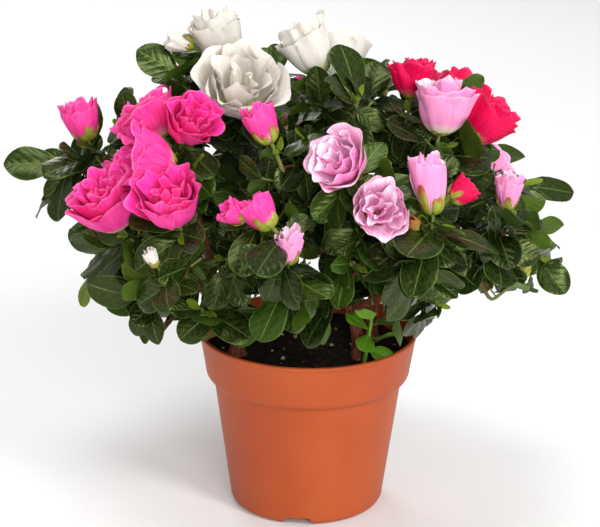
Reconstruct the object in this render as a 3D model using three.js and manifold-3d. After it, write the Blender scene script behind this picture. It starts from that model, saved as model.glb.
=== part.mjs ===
// A potted azalea: a round plastic pot of potting soil, four woody stems, the boughs that they carry, and the crown
// of leafy, flowering twigs in separate masses. Millimetres, +Z up, origin at the centre of the pot's flat underside.
import * as THREE from "three";
import Module from "manifold-3d";
import { mergeVertices } from "three/addons/utils/BufferGeometryUtils.js";

const wasm = await Module();
wasm.setup();

// ---------------------------------------------------------------- driving dimensions
const UP = new THREE.Vector3(0, 0, 1);
const CLEAR = 0.3; // between pieces that touch
const GOLDEN = (137.5 * Math.PI) / 180; // turn from one leaf or filler shoot to the next
const DEGREE = Math.PI / 180;
const SEED = 40000; // of the leaves' scatter

const POT = {
  height: 108, rim: 65, lip: 2.6, lipStep: 0.5, // the lip stands proud of the collar under it
  collarFoot: 61.2, collarFootZ: 85, crease: 56.4, creaseZ: 79.5, // where the collar curves in to the body
  foot: 46.2, round: 5.2, wall: 1.5, segments: 32,
};
const NOTCH = { count: 3, first: -96.5 * DEGREE, width: 19, top: 14, height: 5.2, depth: 15, hole: 3.4, holeAt: 37 };
const SOIL = { top: 96 };

// Filler shoots lie on this dome, down to a share of its height under its middle.
const DOME = { centre: [-2, 2, 172], radius: [128, 116, 98], lowest: -0.3 };
const LAYERS = [[1, 90, 34], [0.62, 40, 40]]; // of filler shoots: share of the dome's radius, tries, spacing
// The crown's lower edge: leaves hang no lower than this, less so the further forward, and less on the right.
const UNDERSIDE = { left: 98, right: 131, turn: [60, 85], slope: 0.375, back: 20 };
// Over the pot's front right they hang no lower than this, clear of the stem and the young shoot there.
const OPENING = { level: 122, left: 14, right: 43, front: -16 };
const LEAF = { length: 38, width: 0.5, thick: 0.9, count: 6, step: 2.0, droop: 0.16, tries: 8, roll: 1.3 };
const TWIG = { bough: [2.6, 1.9], leader: [1.9, 1.15], side: [1.4, 0.95] };
const SPACE = { margin: 1.1, whorl: 9, twig: 2.2, limb: 3.4, along: 6, leaf: 10 }; // how far things keep apart

// Each stem: foot and fork on their way up, radius at the soil and at the fork.
const STEMS = {
  left: { foot: [-42, -12], fork: [-45, -8, 126], radius: [4.4, 3.0] },
  front_right: { foot: [30, -16], fork: [20, -14, 140], radius: [3.6, 2.7] },
  back_right: { foot: [38, 14], fork: [42, 16, 142], radius: [3.8, 2.8] },
  back_left: { foot: [-14, 34], fork: [-20, 30, 146], radius: [3.9, 2.8] },
};

// Flower stages: rings by share of the radius and of the depth, the depth of the middle, and how much the rim waves.
const FLOWERS = {
  bloom: { sides: 10, rings: [[0.3, 0.1], [0.78, 0.5], [1, 0.92]], centre: 0.8, ruffle: 0.11 },
  bud: { sides: 6, rings: [[0.8, 0.2], [0.9, 0.78]], centre: 1, ruffle: 0 },
};

// The masses of the crown. Each has its stem, where on it the bough starts, its flowers and its leafy tips. A flower is
// stage, colour, centre, heading (0 to the right, 90 to the back) and lift above level in degrees, radius and depth.
// A tip is its place, and the heading and lift of its shoot where that doesn't simply point outwards.
const MASSES = [
  {
    name: "left_tip", stem: "left", at: 0.55,
    tips: [[-140, -12, 214, -125, 35], [-112, -14, 182], [-122, 34, 200]],
    flowers: [
      ["bud", "pink", [-132, -8, 238], 150, 72, 11, 25],
    ],
  },
  {
    name: "left_upper", stem: "left", at: 1.0,
    tips: [[-108, 2, 230, -130, 45]],
    flowers: [
      ["bloom", "pink", [-91, -46, 250], 165, 50, 18, 28],
      ["bloom", "pink", [-66, -64, 252], -60, 45, 16, 26],
      ["bloom", "pink", [-90, -76, 233], -165, 15, 20, 32],
    ],
  },
  {
    name: "left_lower", stem: "left", at: 0.72,
    tips: [[-92, -66, 150, -110, 20], [-108, -44, 172]],
    flowers: [
      ["bloom", "pink", [-113, -70, 207], -150, 62, 19, 34],
      ["bloom", "pink", [-102, -46, 214], 120, 60, 14, 28],
      ["bloom", "pink", [-76, -96, 217], -110, 60, 19, 32],
      ["bud", "white", [-86, -100, 186], 170, 60, 4, 11],
    ],
  },
  {
    name: "front_centre", stem: "left", at: 0.88,
    tips: [[-60, -74, 147, -100, 30], [-46, -84, 180, -95, 30], [-12, -92, 170]],
    flowers: [
      ["bud", "pink", [-41, -112, 216], -170, 30, 7, 15],
      ["bud", "pink", [-27, -113, 216], 150, 40, 9.5, 20],
      ["bud", "blush", [-11, -119, 200], -80, 78, 7.5, 22],
    ],
  },
  {
    name: "centre", stem: "front_right", at: 0.98,
    tips: [[-2, -62, 242]],
    flowers: [
      ["bud", "pink", [-27, -78, 256], 160, 60, 9.5, 23],
    ],
  },
  {
    name: "front_right", stem: "front_right", at: 0.8,
    tips: [[24, -98, 184], [64, -88, 176], [14, -84, 158, -95, 30]],
    flowers: [
      ["bloom", "blush", [15, -96, 240], -125, 35, 18, 24],
      ["bloom", "blush", [37, -110, 218], -85, 25, 17.5, 24],
      ["bud", "blush", [64, -92, 228], 120, 70, 10.5, 34],
      ["bud", "green", [55, -104, 209], -120, 50, 4.5, 12],
    ],
  },
  {
    name: "right_lower", stem: "front_right", at: 0.62,
    tips: [[132, -30, 166, -60, 25], [70, -66, 150], [104, -56, 178]],
    flowers: [
      ["bud", "blush", [111, -55, 212], 60, 80, 7.5, 21],
      ["bud", "green", [122, -52, 168], 45, 60, 4.5, 17],
    ],
  },
  {
    name: "right_upper", stem: "back_right", at: 0.84,
    tips: [[122, -12, 204, -40, 40]],
    flowers: [
      ["bloom", "blush", [74, -34, 256], 70, 78, 18, 33],
      ["bloom", "crimson", [58, -6, 265], 80, 75, 15, 24],
      ["bloom", "crimson", [100, -16, 243], 15, 50, 17, 30],
      ["bud", "crimson", [84, -62, 214], 20, 30, 8, 16],
    ],
  },
  {
    name: "top_right", stem: "back_right", at: 1.0,
    tips: [[26, -24, 254], [34, 20, 246]],
    flowers: [
      ["bloom", "white", [-2, 2, 280], 165, 62, 17, 34],
    ],
  },
  {
    name: "top_left", stem: "back_left", at: 1.0,
    tips: [[-70, 14, 262], [-20, 22, 262]],
    flowers: [
      ["bloom", "white", [-54, 8, 284], 175, 74, 17, 34],
      ["bud", "white", [-76, 6, 281], 178, 15, 6, 18],
      ["bloom", "white", [-40, -36, 266], -80, 50, 26, 32],
    ],
  },
  {
    name: "back_right", stem: "back_right", at: 0.66,
    tips: [[128, 44, 164]],
    flowers: [
      ["bloom", "crimson", [88, 62, 234], 45, 40, 19, 30],
      ["bloom", "blush", [108, 40, 196], 25, 25, 17, 26],
      ["bud", "pink", [60, 92, 204], 65, 45, 9, 21],
    ],
  },
  {
    name: "back_centre", stem: "back_left", at: 0.82,
    tips: [[24, 92, 150]],
    flowers: [
      ["bloom", "white", [16, 72, 258], 85, 55, 20, 32],
      ["bloom", "pink", [-14, 104, 216], 100, 30, 19, 28],
      ["bud", "blush", [30, 104, 186], 75, 40, 8, 20],
    ],
  },
  {
    name: "back_left", stem: "back_left", at: 0.66,
    tips: [[-110, 62, 158], [-58, 84, 146]],
    flowers: [
      ["bloom", "pink", [-66, 72, 242], 125, 45, 19, 30],
      ["bloom", "blush", [-100, 50, 206], 150, 30, 18, 28],
      ["bud", "crimson", [-72, 88, 190], 125, 45, 8, 20],
    ],
  },
];

// A green shoot that springs from the soil beside the front right stem.
const YOUNG = { foot: [33, -25], tip: [37, -29, 128], radius: [1.5, 1.0] };
const YOUNG_LEAF = { length: 20, width: 0.42, thick: 0.9, count: 8, step: 3.0, droop: 0.05 };

// ---------------------------------------------------------------- colours
const LOOKS = {
  pot: { color: 0xc8643c, roughness: 0.45 },
  soil: { color: 0x231813, roughness: 1 },
  bark: { color: 0x6e3b26, roughness: 0.85 },
  foliage: { color: 0x2f4a29, roughness: 0.45 },
  young: { color: 0x5f9a22, roughness: 0.4 },
};
const material = (look) => new THREE.MeshStandardMaterial({ metalness: 0, ...LOOKS[look] });

// ---------------------------------------------------------------- solids
const vec = (a) => new THREE.Vector3(...a);
const lerp = (a, b, t) => a + (b - a) * t;
const around = (count, make) => Array.from({ length: count }, (_, i) => make(i));

// A small repeatable source of numbers from 0 to 1 (mulberry32).
function seeded(seed) {
  let state = seed >>> 0;
  return () => {
    state = (state + 0x6d2b79f5) >>> 0;
    let mixed = Math.imul(state ^ (state >>> 15), state | 1);
    mixed ^= mixed + Math.imul(mixed ^ (mixed >>> 7), mixed | 61);
    return ((mixed ^ (mixed >>> 14)) >>> 0) / 4294967296;
  };
}

function solidFrom(geometry) {
  const bare = geometry.index ? geometry.toNonIndexed() : geometry.clone();
  bare.deleteAttribute("normal");
  bare.deleteAttribute("uv");
  const merged = mergeVertices(bare, 1e-4);
  const mesh = new wasm.Mesh({
    numProp: 3,
    vertProperties: merged.attributes.position.array,
    triVerts: new Uint32Array(merged.index.array),
  });
  return new wasm.Manifold(mesh);
}

function solidOf(points, triangles) {
  const position = new Float32Array(points.flatMap((p) => [p.x, p.y, p.z]));
  const geometry = new THREE.BufferGeometry().setAttribute("position", new THREE.BufferAttribute(position, 3));
  return solidFrom(geometry.setIndex(triangles.flat()));
}

// Rings of points joined into one closed skin, with a flat fan or a point at each end.
function loft(rings, first, last) {
  const sides = rings[0].length;
  const points = [...rings.flat(), first, last];
  const triangles = [];
  const foot = rings.length * sides;
  const top = (rings.length - 1) * sides;
  for (let i = 0; i < sides; i++) {
    const j = (i + 1) % sides;
    triangles.push([foot, j, i], [foot + 1, top + i, top + j]);
    for (let k = 0; k < top; k += sides) {
      triangles.push([k + i, k + j, k + sides + j], [k + i, k + sides + j, k + sides + i]);
    }
  }
  return solidOf(points, triangles);
}

// Two directions square to an axis.
function across(axis) {
  const side = new THREE.Vector3().crossVectors(axis, Math.abs(axis.z) > 0.94 ? new THREE.Vector3(1, 0, 0) : UP);
  side.normalize();
  return [side, new THREE.Vector3().crossVectors(axis, side)];
}

// Points round an axis, the first of them towards e.
function ringAt(centre, axis, e, radius, sides) {
  const f = new THREE.Vector3().crossVectors(axis, e);
  return around(sides, (i) => {
    const turn = (2 * Math.PI * i) / sides;
    return centre.clone().addScaledVector(e, radius * Math.cos(turn)).addScaledVector(f, radius * Math.sin(turn));
  });
}

// A limb along a path of points, tapering from one radius to the other. It may have a flared foot, and an end may be
// cut square to a direction of its own.
function limb(path, [from, to], sides, { flare = 0, first = null, last = null } = {}) {
  let e = null;
  const rings = path.map((point, k) => {
    const before = path[Math.max(k - 1, 0)];
    const after = path[Math.min(k + 1, path.length - 1)];
    const cut = k === 0 ? first : k === path.length - 1 ? last : null;
    const axis = (cut ?? after.clone().sub(before)).clone().normalize();
    e = e ? e.addScaledVector(axis, -e.dot(axis)).normalize() : across(axis)[0];
    const t = k / (path.length - 1);
    return ringAt(point, axis, e, lerp(from, to, t) + flare * Math.exp(-9 * t), sides);
  });
  return loft(rings, path[0], path.at(-1));
}

// Points on a smooth way from one point and direction to another.
function way(from, heading, to, arriving, steps, pull = 0.35) {
  const reach = from.distanceTo(to) * pull;
  const out = from.clone().addScaledVector(heading, reach);
  const back = to.clone().addScaledVector(arriving, -reach);
  return new THREE.CubicBezierCurve3(from, out, back, to).getPoints(steps);
}

// The point some share of the way along a path, counted by its pieces, and the direction there.
function partWay(path, share) {
  const place = share * (path.length - 1);
  const k = Math.min(Math.floor(place), path.length - 2);
  const direction = path[k + 1].clone().sub(path[k]).normalize();
  return { point: path[k].clone().lerp(path[k + 1], place - k), direction };
}

const largest = (solid) => solid.decompose().sort((a, b) => b.volume() - a.volume())[0];

// A solid's main body, without loose scraps or sealed hollows, its points rounded to a thousandth.
function bodyOf(solid) {
  const { vertProperties, triVerts, numProp, numVert } = largest(solid).getMesh();
  const position = new Float32Array(numVert * 3);
  for (let i = 0; i < numVert; i++) {
    for (let k = 0; k < 3; k++) position[i * 3 + k] = Math.round(vertProperties[i * numProp + k] * 1000) / 1000;
  }
  const loose = new THREE.BufferGeometry().setAttribute("position", new THREE.BufferAttribute(position, 3));
  const body = mergeVertices(loose.setIndex(new THREE.BufferAttribute(triVerts, 1)), 1e-4);
  const faces = around(body.index.count / 3, (i) => [...body.index.array.slice(i * 3, i * 3 + 3)]);
  return body.setIndex(faces.filter(([a, b, c]) => a !== b && b !== c && c !== a).flat());
}

// Whether any edge of a body joins more than two faces.
function pinched(geometry) {
  const corners = geometry.index.array;
  const seen = new Set();
  for (let i = 0; i < corners.length; i++) {
    const next = corners[i % 3 === 2 ? i - 2 : i + 1];
    const edge = `${corners[i]} ${next}`;
    if (seen.has(edge)) return true;
    seen.add(edge);
  }
  return false;
}

// Simplify a fused solid as far as its body stays sound.
function lightened(solid) {
  for (const tolerance of [0.15, 0.1, 0.07, 0.05, 0.03, 0.02, 0.01]) {
    const body = bodyOf(solid.asOriginal().simplify(tolerance));
    if (pinched(body)) continue;
    const light = solidFrom(body);
    if (light.decompose().length === 1) return light;
  }
  return solid;
}

function meshOf(solid, name, look) {
  const geometry = bodyOf(solid);
  geometry.computeVertexNormals();
  const mesh = new THREE.Mesh(geometry, material(look));
  mesh.name = name;
  return mesh;
}

// ---------------------------------------------------------------- pot and soil
// Outline of the pot's outside, or of a layer some thickness inside it, from its foot up to its rim.
function potOutline(inset) {
  const { height, rim, lip, lipStep, collarFoot, collarFootZ, crease, creaseZ, foot, round } = POT;
  const points = [];
  for (const turn of [0, 40, 90].map((a) => a * DEGREE)) {
    points.push([foot - round + (round - inset) * Math.sin(turn), round - (round - inset) * Math.cos(turn)]);
  }
  points.push([crease - inset, creaseZ + inset * 0.7]);
  for (const turn of [45, 90].map((a) => a * DEGREE)) {
    points.push([
      crease + (collarFoot - crease - inset) * Math.sin(turn),
      creaseZ + (collarFootZ - creaseZ) * (1 - Math.cos(turn)) + inset * Math.cos(turn),
    ]);
  }
  if (inset) {
    points.push([rim - lipStep - inset, height]);
  } else {
    points.push([rim - lipStep, height - lip], [rim, height - lip + 0.5], [rim, height - 0.4], [rim - 0.4, height]);
  }
  return points.map(([r, z]) => new THREE.Vector2(r, z));
}

const turned = (profile) => solidFrom(new THREE.LatheGeometry(profile, POT.segments).rotateX(Math.PI / 2));
const onAxis = (z) => new THREE.Vector2(0, z);

// The tapered drain pocket that notches the pot's bottom edge, grown all round by some thickness.
function pocket(index, grow) {
  const { width, top, height, depth, first, count } = NOTCH;
  const shape = new THREE.Shape([
    new THREE.Vector2(-width / 2 - grow, -1), new THREE.Vector2(width / 2 + grow, -1),
    new THREE.Vector2(width / 2 + grow, 0), new THREE.Vector2(top / 2 + grow, height + grow),
    new THREE.Vector2(-top / 2 - grow, height + grow), new THREE.Vector2(-width / 2 - grow, 0),
  ]);
  const prism = new THREE.ExtrudeGeometry(shape, { depth: depth + 10 + grow, bevelEnabled: false });
  prism.rotateX(Math.PI / 2).rotateZ(Math.PI / 2); // now it runs along +X, from the axis outwards
  prism.translate(POT.foot - depth - grow, 0, 0);
  return solidFrom(prism.rotateZ(first + (index * 2 * Math.PI) / count));
}

function drainHole(index) {
  const { hole, holeAt, first, count } = NOTCH;
  const bore = new THREE.CylinderGeometry(hole, hole, 20, 12).rotateX(Math.PI / 2);
  return solidFrom(bore.translate(holeAt, 0, 0).rotateZ(first + (index * 2 * Math.PI) / count));
}

function potSolid() {
  const outside = potOutline(0);
  const inside = potOutline(POT.wall);
  const shell = turned([onAxis(0), ...outside, ...inside.reverse(), onAxis(POT.wall)]);
  const envelope = turned([onAxis(0), ...outside, onAxis(POT.height)]);
  const roofs = around(NOTCH.count, (i) => pocket(i, POT.wall).intersect(envelope));
  const pockets = around(NOTCH.count, (i) => pocket(i, 0));
  const holes = around(NOTCH.count, drainHole);
  return wasm.Manifold.union([shell, ...roofs]).subtract(wasm.Manifold.union([...pockets, ...holes]));
}

function soilSolid() {
  const inset = POT.wall + CLEAR;
  const side = potOutline(inset);
  const above = side.pop();
  const below = side.at(-1);
  const edge = below.clone().lerp(above, (SOIL.top - below.y) / (above.y - below.y));
  const body = turned([onAxis(inset), ...side, edge, onAxis(SOIL.top)]);
  return body.subtract(wasm.Manifold.union(around(NOTCH.count, (i) => pocket(i, inset))));
}

// ---------------------------------------------------------------- where the shoots are
const outward = (point) => point.clone().sub(vec(DOME.centre)).divide(vec(DOME.radius)).normalize();

function facing(heading, lift) {
  const level = Math.cos(lift * DEGREE);
  const turn = heading * DEGREE;
  return new THREE.Vector3(level * Math.cos(turn), level * Math.sin(turn), Math.sin(lift * DEGREE));
}

// A flower's shoot ends in a whorl of leaves under the flower, and leans between the flower's facing and outwards.
function flowerShoot([stage, colour, at, heading, lift, radius, depth]) {
  const face = facing(heading, lift);
  const centre = vec(at);
  const base = centre.clone().addScaledVector(face, -depth / 2);
  const whorl = base.clone().addScaledVector(face, -5).addScaledVector(outward(centre), -3);
  const axis = face.clone().add(outward(centre)).add(UP.clone().multiplyScalar(0.3)).normalize();
  return { whorl, axis, flower: { stage, colour, centre, base, face, radius, depth } };
}

function leafyShoot([x, y, z, heading, lift]) {
  const whorl = new THREE.Vector3(x, y, z);
  const axis = lift === undefined ? outward(whorl).add(UP.clone().multiplyScalar(0.45)) : facing(heading, lift);
  return { whorl, axis: axis.normalize() };
}

// Filler shoots lie on the dome, and on a smaller one within it, on a golden spiral wherever no other shoot is near.
function fillerShoots(taken) {
  const found = [];
  for (const [scale, tries, spacing] of LAYERS) {
    for (let k = 0; k < tries; k++) {
      const z = 1 - ((k + 0.5) / tries) * (1 - DOME.lowest);
      const level = Math.sqrt(1 - z * z) * scale;
      const direction = new THREE.Vector3(level * Math.cos(k * GOLDEN), level * Math.sin(k * GOLDEN), z * scale);
      const shoot = leafyShoot(direction.multiply(vec(DOME.radius)).add(vec(DOME.centre)).toArray());
      if ([...taken, ...found].every((s) => s.whorl.distanceTo(shoot.whorl) > spacing)) found.push(shoot);
    }
  }
  return found;
}

// Each filler shoot goes to the mass that has the nearest shoot.
function planCrown() {
  const masses = MASSES.map((mass) => {
    return { ...mass, shoots: [...mass.flowers.map(flowerShoot), ...mass.tips.map(leafyShoot)] };
  });
  const named = masses.flatMap((mass) => mass.shoots.map((shoot) => [shoot, mass]));
  for (const filler of fillerShoots(named.map(([shoot]) => shoot))) {
    const far = named.map(([shoot]) => shoot.whorl.distanceTo(filler.whorl));
    named[far.indexOf(Math.min(...far))][1].shoots.push(filler);
  }
  return masses;
}

// ---------------------------------------------------------------- stems, boughs and twigs
function stemPath({ foot, fork }) {
  const base = new THREE.Vector3(foot[0], foot[1], SOIL.top + CLEAR);
  const top = vec(fork);
  const middle = new THREE.Vector3(foot[0], foot[1], lerp(base.z, top.z, 0.5));
  return new THREE.QuadraticBezierCurve3(base, middle, top).getPoints(5);
}

// A twig ends in a straight stretch that carries its leaves, and goes on to its flower if it has one.
function twigPath(root, heading, { whorl, axis, flower }, steps) {
  const bare = whorl.clone().addScaledVector(axis, -LEAF.count * LEAF.step);
  const path = [...way(root, heading, bare, axis, steps, 0.3), whorl];
  if (flower) path.push(flower.base.clone().addScaledVector(flower.face, 2.5));
  return path;
}

// The bough runs from its stem half way to the middle of its mass, and the mass's leader goes on from there to the
// furthest shoot. The other shoots branch off the leader, the nearest ones first.
function planWood(mass) {
  const { point: start, direction: rise } = partWay(stemPath(STEMS[mass.stem]), mass.at);
  const middle = mass.shoots.reduce((sum, s) => sum.add(s.whorl), new THREE.Vector3());
  middle.divideScalar(mass.shoots.length);
  const entry = start.clone().lerp(middle, 0.5).add(new THREE.Vector3(0, 0, 4));
  const heading = middle.clone().sub(start).setZ(0).normalize().add(rise).normalize();
  const arriving = middle.clone().sub(entry).normalize().add(UP.clone().multiplyScalar(0.3)).normalize();
  mass.bough = way(start, heading, entry, arriving, 4);
  mass.joint = arriving;
  const from = entry.clone().addScaledVector(arriving, CLEAR);
  const byReach = [...mass.shoots].sort((a, b) => a.whorl.distanceTo(entry) - b.whorl.distanceTo(entry));
  const lead = byReach.pop();
  mass.leader = twigPath(from, arriving, lead, 2);
  lead.twig = mass.leader;
  byReach.forEach((shoot, i) => {
    const share = lerp(0.06, 0.5, byReach.length > 1 ? i / (byReach.length - 1) : 0.5);
    const { point, direction } = partWay(mass.leader, share);
    shoot.twig = twigPath(point, direction, shoot, 1);
  });
}

// ---------------------------------------------------------------- a mass's own space
// Balls along each mass's wood and round its flowers. A point belongs to the mass whose ball is nearest.
function ballsOf(mass) {
  const balls = [];
  for (const shoot of mass.shoots) {
    balls.push([shoot.whorl, SPACE.whorl]);
    for (let k = 0; k <= SPACE.along; k++) balls.push([partWay(shoot.twig, k / SPACE.along).point, SPACE.twig]);
    if (shoot.flower) balls.push([shoot.flower.centre, Math.max(shoot.flower.radius, shoot.flower.depth / 2)]);
  }
  return balls;
}

const ballsAlong = (path) => around(13, (k) => [partWay(path, k / 12).point, SPACE.limb]);
const nearestBall = (balls, point) => Math.min(...balls.map(([centre, radius]) => centre.distanceTo(point) - radius));

function clearOfPot(point) {
  const out = Math.hypot(point.x, point.y);
  if (point.z > POT.height + 2) return true;
  return out > POT.rim + 2 || (out < POT.rim - 6 && point.z > SOIL.top + 2);
}

function keepsTo(mass, points, masses, limbs) {
  return points.every((point) => {
    const own = nearestBall(mass.balls, point);
    if (!clearOfPot(point) || nearestBall(limbs, point) < SPACE.margin) return false;
    return masses.every((other) => other === mass || nearestBall(other.balls, point) > own + SPACE.margin);
  });
}

function hangsHigh(point) {
  const [first, last] = UNDERSIDE.turn;
  const share = THREE.MathUtils.clamp((point.x - first) / (last - first), 0, 1);
  const rise = UNDERSIDE.slope * Math.min(point.y, UNDERSIDE.back);
  const over = point.x > OPENING.left && point.x < OPENING.right && point.y < OPENING.front;
  const level = over ? OPENING.level : lerp(UNDERSIDE.left, UNDERSIDE.right, share);
  return point.z > level - rise;
}

// ---------------------------------------------------------------- leaves and flowers
// One leaf of a shoot: its root, direction, upper side, length and half width.
function leafOf(shoot, i, attempt, random, size) {
  const [e, f] = across(shoot.axis);
  const turn = i * GOLDEN + (random() - 0.5) * 1.1;
  const pitch = lerp(46, -24, i / (size.count - 1)) * DEGREE + (random() - 0.5) * 0.5;
  const length = size.length * (1.1 - 0.3 * random() - 0.07 * attempt);
  const level = e.multiplyScalar(Math.cos(turn)).addScaledVector(f, Math.sin(turn));
  const along = level.multiplyScalar(Math.cos(pitch)).addScaledVector(shoot.axis, Math.sin(pitch));
  along.z -= size.droop;
  along.normalize();
  const upper = shoot.axis.clone().addScaledVector(along, -shoot.axis.dot(along)).normalize();
  upper.applyAxisAngle(along, (random() - 0.5) * LEAF.roll);
  const root = shoot.whorl.clone().addScaledVector(shoot.axis, -1 - i * size.step);
  return { root, along, upper, length, half: (length * size.width) / 2, droop: size.droop };
}

// Outline of a leaf, base to tip and back: how far along, how far to the side, as shares of length and half width.
const LEAF_OUTLINE = [[0, 0], [0.42, 0.8], [0.8, 0.88], [1, 0], [0.8, -0.88], [0.42, -0.8]];

function leafPoint({ root, along, upper, length, half, droop }, t, s, raise) {
  const side = new THREE.Vector3().crossVectors(upper, along);
  return root.clone().addScaledVector(along, t * length).addScaledVector(side, s * half)
    .addScaledVector(upper, raise - droop * t * t * length);
}

function leafPoints(leaf) {
  const edge = LEAF_OUTLINE.map(([t, s]) => leafPoint(leaf, t, s, Math.abs(s) * leaf.half * 0.18));
  return [...edge, leafPoint(leaf, 0.45, 0, LEAF.thick / 2), leafPoint(leaf, 0.45, 0, -LEAF.thick / 2)];
}

function leafSolid(points) {
  const triangles = [];
  for (let i = 0; i < 6; i++) triangles.push([(i + 1) % 6, i, 6], [i, (i + 1) % 6, 7]);
  return solidOf(points, triangles);
}

// Every leaf of a shoot that keeps to its mass's space and off the leaves before it, each tried a few ways round.
// Placed holds points down the middle of the leaves so far.
function leavesOf(shoot, seed, size, keeps, placed = []) {
  const random = seeded(seed);
  const leaves = [];
  for (let i = 0; i < size.count; i++) {
    for (let attempt = 0; attempt < LEAF.tries; attempt++) {
      const leaf = leafOf(shoot, i, attempt, random, size);
      const middle = [0.5, 0.75, 1].map((t) => leafPoint(leaf, t, 0, 0));
      const points = leafPoints(leaf);
      const crowded = middle.some((p) => placed.some((q) => q.distanceTo(p) < SPACE.leaf));
      if (crowded || !keeps(points.slice(1))) continue;
      placed.push(...middle);
      leaves.push(points);
      break;
    }
  }
  return leaves;
}

// A flower is a ruffled cup on its base, closed at the top by a shallow cone down to its centre.
function flowerSolid({ stage, base, face, radius, depth }, grow = 0) {
  const { sides, rings, centre, ruffle } = FLOWERS[stage];
  const foot = base.clone().addScaledVector(face, -grow);
  const made = rings.map(([share, height], k) => {
    const middle = base.clone().addScaledVector(face, height * depth + (k ? grow : -grow));
    const wave = k === 2 ? ruffle : ruffle / 3;
    return ringAt(middle, face, across(face)[0], share * radius + grow * 1.5, sides).map((point, i) => {
      const turn = i % 2 ? wave : -wave;
      return point.lerp(middle, turn).addScaledVector(face, turn * depth * 0.6);
    });
  });
  return loft(made, foot, base.clone().addScaledVector(face, centre * depth + grow));
}

function massSolid(mass, keeps, seed) {
  const placed = [];
  const pieces = [limb(mass.leader, TWIG.leader, 4, { first: mass.joint })];
  mass.shoots.forEach((shoot, k) => {
    if (shoot.twig !== mass.leader) pieces.push(limb(shoot.twig, TWIG.side, 3));
    if (shoot.flower) pieces.push(flowerSolid(shoot.flower));
    const leaves = leavesOf(shoot, seed + k, LEAF, keeps, placed);
    pieces.push(...leaves.filter((points) => points.every(hangsHigh)).map(leafSolid));
  });
  return wasm.Manifold.union(pieces);
}

// ---------------------------------------------------------------- the whole plant
const azalea = new THREE.Group();
azalea.name = "potted_azalea";
azalea.add(meshOf(potSolid(), "pot", "pot"), meshOf(soilSolid(), "soil", "soil"));

const crown = planCrown();
crown.forEach(planWood);
crown.forEach((mass) => (mass.balls = ballsOf(mass)));

const limbs = []; // balls that leaves keep clear of
const wood = []; // the limbs, grown all round
const grown = ([from, to]) => [from + CLEAR * 1.3, to + CLEAR * 1.3];
for (const [name, stem] of Object.entries(STEMS)) {
  const path = stemPath(stem);
  limbs.push(...ballsAlong(path));
  const foot = { flare: 2.0, first: UP };
  azalea.add(meshOf(limb(path, stem.radius, 8, foot), `stem_${name}`, "bark"));
  let taken = limb(path, grown(stem.radius), 8, foot);
  for (const mass of crown.filter((m) => m.stem === name)) {
    limbs.push(...ballsAlong(mass.bough));
    const bough = limb(mass.bough, TWIG.bough, 5, { last: mass.joint });
    azalea.add(meshOf(bough.subtract(taken), `bough_${mass.name}`, "bark"));
    taken = taken.add(limb(mass.bough, grown(TWIG.bough), 5, { last: mass.joint }));
  }
  wood.push(taken);
}

// The young shoot is one solid with its leaves.
const youngTip = vec(YOUNG.tip);
const youngFoot = new THREE.Vector3(...YOUNG.foot, SOIL.top + CLEAR);
const youngShoot = { whorl: youngTip, axis: youngTip.clone().sub(youngFoot).normalize() };
const youngKeeps = (points) => points.every((p) => clearOfPot(p) && nearestBall(limbs, p) > SPACE.margin);
const youngLeaves = leavesOf(youngShoot, 7, YOUNG_LEAF, youngKeeps);
const youngPath = [youngFoot, youngFoot.clone().lerp(youngTip, 0.5), youngTip];
const youngPieces = [limb(youngPath, YOUNG.radius, 5, { first: UP }), ...youngLeaves.map(leafSolid)];
azalea.add(meshOf(wasm.Manifold.union(youngPieces), "young_shoot", "young"));
limbs.push(...youngLeaves.flat().map((point) => [point, 2]));

const blossom = []; // flowers already in place, grown all round
crown.forEach((mass, index) => {
  const keeps = (points) => keepsTo(mass, points, crown, limbs);
  const solid = massSolid(mass, keeps, SEED + index * 100).subtract(wasm.Manifold.union([...wood, ...blossom]));
  azalea.add(meshOf(lightened(solid), `foliage_${mass.name}`, "foliage"));
  blossom.push(...mass.shoots.filter((s) => s.flower).map((s) => flowerSolid(s.flower, CLEAR)));
});

export default azalea;
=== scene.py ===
"""A potted azalea in flower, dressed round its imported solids.

The crown grows by the same rule, seed and places as the solids: four stems carry thirteen boughs, each
bough carries one mass of shoots, and each shoot ends in a whorl of leaves with or without a flower. Here
the twigs are finer, side sprigs are added inside the crown, and every leaf, petal, bud scale and twig is
its own closed sheet or tube. Everything is planned in millimetres and turned into metres where a mesh is
made.
"""

import math

import bpy
import numpy as np
from mathutils import Matrix, Vector, noise


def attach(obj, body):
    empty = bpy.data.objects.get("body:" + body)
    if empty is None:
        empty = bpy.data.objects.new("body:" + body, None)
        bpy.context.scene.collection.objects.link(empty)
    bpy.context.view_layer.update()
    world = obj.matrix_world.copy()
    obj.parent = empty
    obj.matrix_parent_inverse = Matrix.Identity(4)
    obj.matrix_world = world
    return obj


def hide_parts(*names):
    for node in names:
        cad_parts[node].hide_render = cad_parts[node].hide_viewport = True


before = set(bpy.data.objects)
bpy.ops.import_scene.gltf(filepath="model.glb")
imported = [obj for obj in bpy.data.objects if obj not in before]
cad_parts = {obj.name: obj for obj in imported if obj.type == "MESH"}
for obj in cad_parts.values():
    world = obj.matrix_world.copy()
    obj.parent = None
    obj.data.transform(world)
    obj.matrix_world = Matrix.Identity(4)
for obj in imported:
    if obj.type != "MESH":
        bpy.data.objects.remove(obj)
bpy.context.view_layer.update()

# ---- driving dimensions, as in the solids
MM = 0.001
UP = np.array([0.0, 0.0, 1.0])
DEGREE = math.pi / 180
GOLDEN = 137.5 * DEGREE  # turn from one leaf or filler shoot to the next
CLEAR = 0.3  # between pieces that touch
SEED = 40000  # of the leaves' scatter
MASK = 0xFFFFFFFF

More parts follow.
